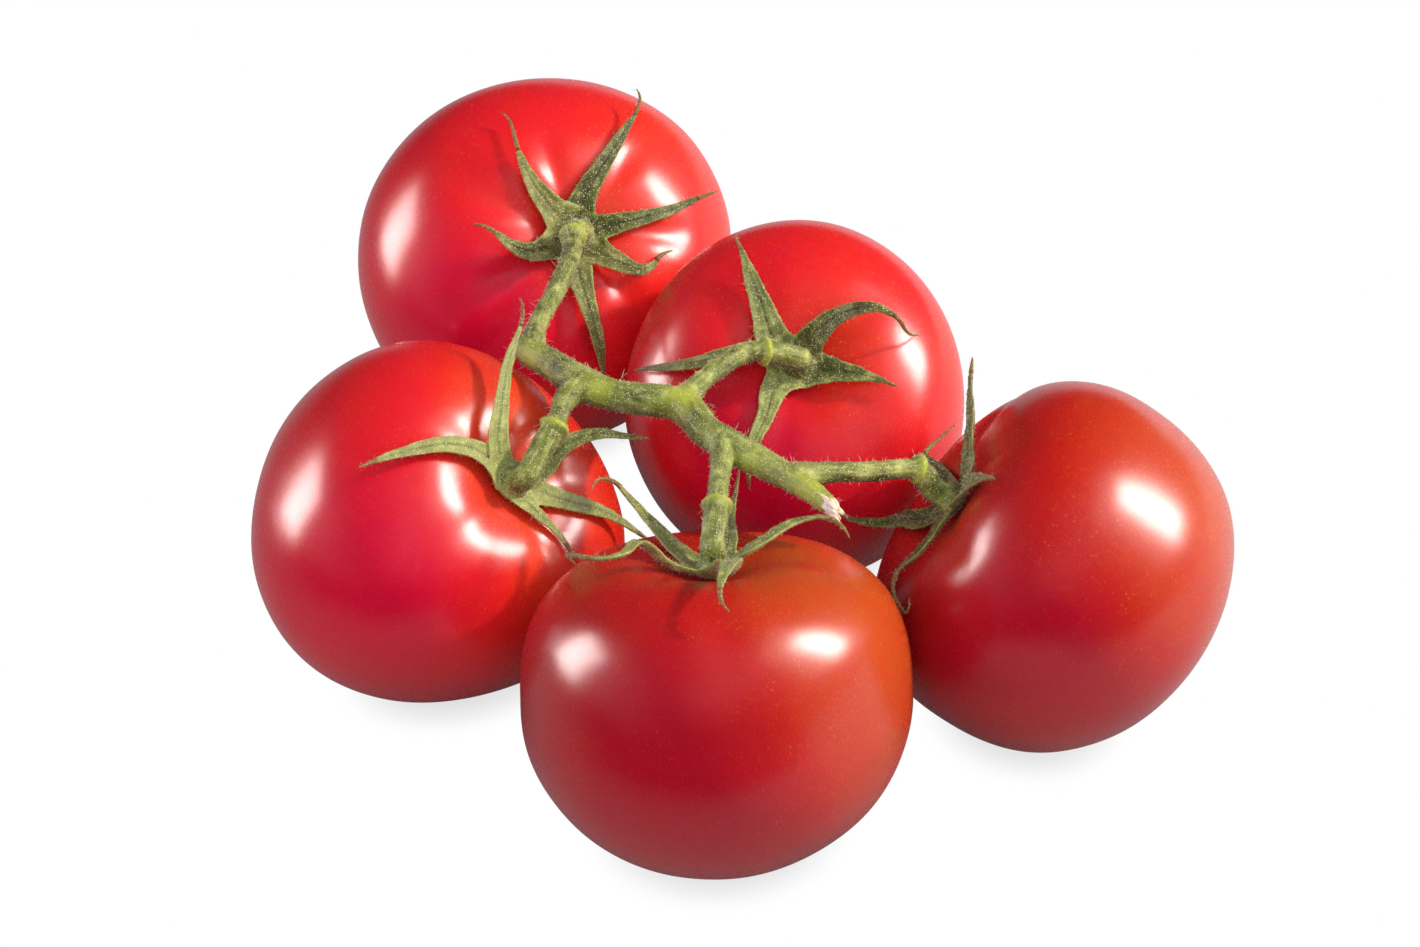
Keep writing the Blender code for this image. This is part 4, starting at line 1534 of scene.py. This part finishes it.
# Sepals of each calyx with their length, width, headings and climbs from root to tip, and what corrects them
SEPALS = {
    Place.BACK_LEFT: (
        Sepal(26, 5.8, (145, 140, 120, 105, 105), (25, 5, -5, -25, -35), 0.72, 0.8, 0.3, (60, 20), 0.25, 0.1, 0.5,
              tip_shift=(0.6, 0.0), flare=1.7),
        Sepal(30, 5.4, (90, 65, 65, 65, 90), (20, 5, -10, -15, -25), 0.9, 0.8, 0.3, (40, 0), 0.0, 0.55, 0.2,
              (-0.25, 0.1), (0.7, 0.0)),
        Sepal(27, 4.5, (25, 20, 25, 35, 25), (30, 5, -15, -15, 10), 0.98, 0.8, 0.25, (0, 0), 0.0, 0.45, 0.0,
              tip_shift=(0.0, 0.2)),
        Sepal(20, 5.4, (-35, -25, -10, 65, 20), (30, 20, -5, -10, -25), 0.85, 0.75, 0.25, (0, 0), 0.1, 0.2, 0.4,
              (0.0, 0.3), flare=1.7),
        Sepal(27, 5.7, (-85, -70, -65, -65, -50), (20, 10, 0, -30, -60), 0.98, 0.75, 0.25, (0, 0), 0.25, 0.25, 0.0),
        Sepal(20, 5.8, (215, 215, 170, 145, 180), (25, 15, 10, 10, -20), 0.88, 0.8, 0.25, (0, 0), 0.1, 0.25, 0.2,
              (0.0, 0.3), flare=1.7),
    ),
    Place.BACK_RIGHT: (
        Sepal(25, 6.9, (140, 105, 110, 105, 115), (30, 10, -5, -15, -5), 0.98, 0.9, 0.3, (0, 0), 0.3, 0.2, 0.1),
        Sepal(31, 5.0, (60, 25, -5, -45, 75), (35, 35, 20, -65, -55), 0.72, 0.7, 0.3, (0, 0), 0.0, 0.45, 0.6,
              (0.0, 0.4)),
        Sepal(16, 5.8, (-15, -15, -15, -15, -25), (15, 20, 10, 0, -10), 0.95, 0.85, 0.25, (0, 0), 0.1, 0.3, 0.1,
              (0.0, 0.3), (0.0, 0.35)),
        Sepal(24, 5.2, (225, 260, 245, 260, 275), (20, 15, 15, -15, -70), 0.98, 0.8, 0.3, (0, 0), 0.35, 0.0, 0.0,
              (-0.3, 0.0), (-0.3, 0.0)),
        Sepal(31, 4.4, (160, 195, 190, 170, 160), (35, 10, -20, -35, -60), 0.98, 0.75, 0.3, (0, 0), 0.25, 0.1, 0.2,
              (0.0, 0.45), (0.0, 0.5)),
    ),
    Place.LEFT: (
        Sepal(33, 4.6, (150, 100, 90, 85, 120), (40, 15, -5, 5, 25), 0.95, 0.75, 0.3, (50, 0), 0.5, 0.0, 0.1,
              (-0.8, 0.0), (0.6, 0.0)),
        Sepal(31, 4.8, (165, 190, 210, 215, 225), (25, 5, -15, -15, 15), 0.95, 0.7, 0.25, (0, 0), 0.5, 0.0, 0.15,
              (0.0, 0.5), (0.0, 0.5)),
        Sepal(24, 4.6, (40, 70, 30, 5, 10), (20, 40, 40, 25, 25), 0.98, 0.7, 0.25, (0, 0), 0.2, 0.25, 0.0,
              (0.0, 0.5), (0.0, 0.5)),
        Sepal(27, 4.6, (0, 5, 10, 0, -15), (15, 5, -5, -15, 5), 0.98, 0.7, 0.2, (0, 0), 0.4, 0.1, 0.1,
              (0.2, 0.2), (0.6, 0.6)),
        Sepal(15, 2.8, (-40, -25, -20, -35, -40), (25, 10, 5, -5, -10), 0.98, 0.8, 0.2, (0, 0), 0.4, 0.0, 0.1,
              (-0.35, -0.2), (-0.35, -0.2)),
    ),
    Place.FRONT: (
        Sepal(31, 4.6, (145, 120, 125, 160, 280), (15, 15, 25, 50, -35), 0.85, 0.75, 0.3, (0, 0), 0.3, 0.1, 0.4,
              (0.3, 0.2), (0.2, 0.2)),
        Sepal(39, 4.0, (195, 235, 255, 150, 45), (5, 45, -10, 5, -45), 0.8, 0.7, 0.3, (0, 0), 0.3, 0.1, 0.4,
              (0.0, 0.8), (0.0, 0.6)),
        Sepal(29, 3.8, (65, 85, 90, 80, 70), (30, 10, -5, 30, 70), 0.98, 0.75, 0.3, (0, 0), 0.2, 0.2, 0.0,
              (-0.3, 0.0), (-0.3, 0.0)),
        Sepal(29, 4.6, (-85, 0, 45, 15, -60), (30, 30, 20, 10, -50), 0.95, 0.75, 0.3, (0, 0), 0.2, 0.1, 0.2,
              (0.0, 0.7), (0.7, -0.7)),
        Sepal(29, 6.4, (-70, -80, -95, -105, -70), (30, 25, 10, -20, -50), 0.9, 0.75, 0.3, (50, 0), 0.35, 0.0, 0.1),
    ),
    Place.RIGHT: (
        Sepal(31, 4.0, (-35, 85, 85, 70, 20), (30, 10, 0, 20, 30), 0.95, 0.5, 0.3, (0, 0), 0.1, 0.35, 0.4,
              (0.3, 0.0), (0.3, 0.0)),
        Sepal(29, 3.0, (90, 110, 115, 80, 30), (20, 10, 5, -25, -15), 0.9, 0.75, 0.3, (0, 0), 0.0, 0.5, 0.4),
        Sepal(16.5, 6.7, (-45, -40, -35, -40, -50), (35, 15, 5, -5, -15), 0.95, 0.75, 0.3, (0, 0), 0.2, 0.2, 0.7),
        Sepal(25, 4.9, (180, 130, 135, 165, 150), (20, 10, 0, 45, 80), 0.98, 0.6, 0.3, (0, 0), 0.0, 0.5, 0.2,
              flare=0.9),
        Sepal(29, 4.0, (270, 225, 180, 265, 335), (25, 5, 10, -45, 45), 0.6, 0.6, 0.3, (90, 0), 0.0, 0.4, 0.5),
    ),
}

# Radius of the dome in the middle of each calyx
HUBS = {Place.BACK_LEFT: 4.1, Place.BACK_RIGHT: 3.9, Place.LEFT: 3.3, Place.FRONT: 3.2, Place.RIGHT: 3.2}

# Middle line of the main stem from its elbow to its torn end, each point with its radius
MAIN_STEM = (
    ((-31.4, -4.8, 55.6), 2.6),
    ((-26.7, -10.0, 56.2), 2.7),
    ((-22.0, -15.4, 56.6), 3.1),
    ((-15.5, -18.6, 56.4), 2.7),
    ((-5.2, -20.4, 56.0), 3.0),
    ((-0.7, -27.5, 55.8), 2.75),
    ((5.1, -33.0, 55.6), 2.8),
    ((15.2, -42.3, 55.8), 2.15),
    ((19.3, -47.6, 56.0), 1.75),
)

# Middle lines of the side stems from the main stem to their knuckles, and which point the knuckle is at
SIDE_STEMS = {
    Place.BACK_LEFT: (
        (-31.4, -4.8, 55.6), (-30.2, 2.9, 55.8), (-27.1, 14.5, 55.2), (-25.0, 25.5, 53.9), (-24.7, 34.4, 52.4)
    ),
    Place.BACK_RIGHT: ((-5.2, -20.4, 56.0), (-0.6, -12.6, 56.0), (5.2, -5.4, 55.3), (9.4, -3.2, 54.6)),
    Place.LEFT: ((-22.4, -15.8, 56.6), (-25.1, -20.5, 56.6), (-26.6, -26.0, 55.6)),
    Place.FRONT: ((2.6, -31.4, 55.6), (1.7, -40.3, 56.2), (1.2, -49.2, 56.6)),
    Place.RIGHT: ((14.0, -40.6, 55.7), (20.3, -38.2, 55.0), (28.0, -36.2, 53.7), (35.2, -33.0, 51.7)),
}
KNUCKLE_POINTS = {Place.BACK_LEFT: 4, Place.BACK_RIGHT: 3, Place.LEFT: 2, Place.FRONT: 2, Place.RIGHT: 3}

# Patches of fresh lime growth, shade and pale skin on the main stem
STEM_TINTS = (
    Tint("lime", (-32.2, -8.4, 57.4), 3.0, 0.9),
    Tint("lime", (-19.2, -18.8, 58.3), 2.4, 0.9),
    Tint("lime", (-4.5, -21.5, 58.5), 3.2, 0.95),
    Tint("lime", (6.4, -38.1, 56.3), 3.2, 0.6),
    Tint("lime", (17.1, -45.5, 57.8), 4.0, 0.9),
    Tint("shade", (-26.6, -10.7, 58.3), 4.0, 0.45),
    Tint("shade", (-17.2, -17.6, 58.3), 3.0, 0.35),
    Tint("pale", (12.0, -41.0, 58.3), 8.0, 0.35),
)

# Every light is either a wide one that only shows in the glossy skin or one that only lights: this is a set-up for
# matching the photograph, and no real studio's plan
LIGHTS = (
    SoftLight("key_strip", 96.0, 34.0, 0.9, 0.23, 0.44, 46.0, "#fff8f0", fills=False),
    SoftLight("key_screen", 88.0, 42.0, 0.9, 0.6, 0.75, 1.9, "#fffaf4", fills=False),
    SoftLight("key_core", 97.0, 35.0, 1.1, 0.05, 0.05, 1400.0, "#ffeccb", shines=False),
    SoftLight("left_strip", -101.0, 12.0, 0.9, 0.33, 0.52, 23.0, "#fff8f4", fills=False),
    SoftLight("left_fill", -80.0, 25.0, 0.9, 0.5, 0.5, 3.2, "#f8f0ff", shines=False),
    SoftLight("front_fill", 0.0, 35.0, 0.9, 0.5, 0.5, 3.4, "#f8f0ff", shines=False),
    SoftLight("sky_fill", 40.0, 58.0, 1.0, 0.9, 0.9, 1.25, "#f8f0ff", shines=False),
)

# Even dim light of the room, and three brighter parts of it
GLOWS = (
    Glow(0.0, 0.0, 0.0, 0.04),
    Glow(60.0, 55.0, 6.0, 0.5),
    Glow(105.0, 8.0, 7.0, 0.55),
    Glow(-65.0, 15.0, 8.0, 0.45),
)


def main() -> None:
    """Builds the truss and its studio."""
    skin = TomatoCuticle().material()
    leaf = GreenTissue(
        "hairy_green_calyx", body="#58691f", dark="#2a350b", pale="#b4c070", lime="#98a836", dry="#86602f"
    ).material()
    rind = GreenTissue(
        "hairy_green_stem", body="#7d8c39", dark="#434a1c", pale="#b8c272", lime="#a9b838", dry="#7f5a32",
        mottle_size=3.2,
    ).material()
    hair = PlantHair().material()
    for place, fruit in FRUITS.items():
        Tomato(place, fruit, RIPENESS_AND_PAINTED_LIGHT[place]).build(skin)
    calyxes = []
    for place, fruit in FRUITS.items():
        calyxes.append(Calyx(place, fruit, SEPALS[place], HUBS[place]).build(leaf))
    stem = TrussStem(FRUITS, MAIN_STEM, SIDE_STEMS, KNUCKLE_POINTS, STEM_TINTS).build(rind)
    TornEnd(MAIN_STEM[-1][0], MAIN_STEM[-2][0]).build(TornFibre().material())
    HairCoat("stem_long_hairs", 900, 0.5, 2.2, 0.045, 0.3, SEED).build(stem, hair, Slot.STEM)
    HairCoat("stem_short_hairs", 5200, 0.18, 0.6, 0.04, 0.4, SEED + 1).build(stem, hair, Slot.STEM)
    for number, calyx in enumerate(calyxes):
        HairCoat(calyx.name + "_hairs", 1500, 0.18, 0.9, 0.035, 0.4, SEED + 10 + number).build(
            calyx, hair, Slot.CALYX
        )
    Studio(Vector((SHIFT.x, SHIFT.y, 25.0)) * MM, lights=LIGHTS, glows=GLOWS).build()
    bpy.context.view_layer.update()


if __name__ == "__main__":
    logging.basicConfig(level=logging.INFO, format="%(name)s: %(message)s")
    main()
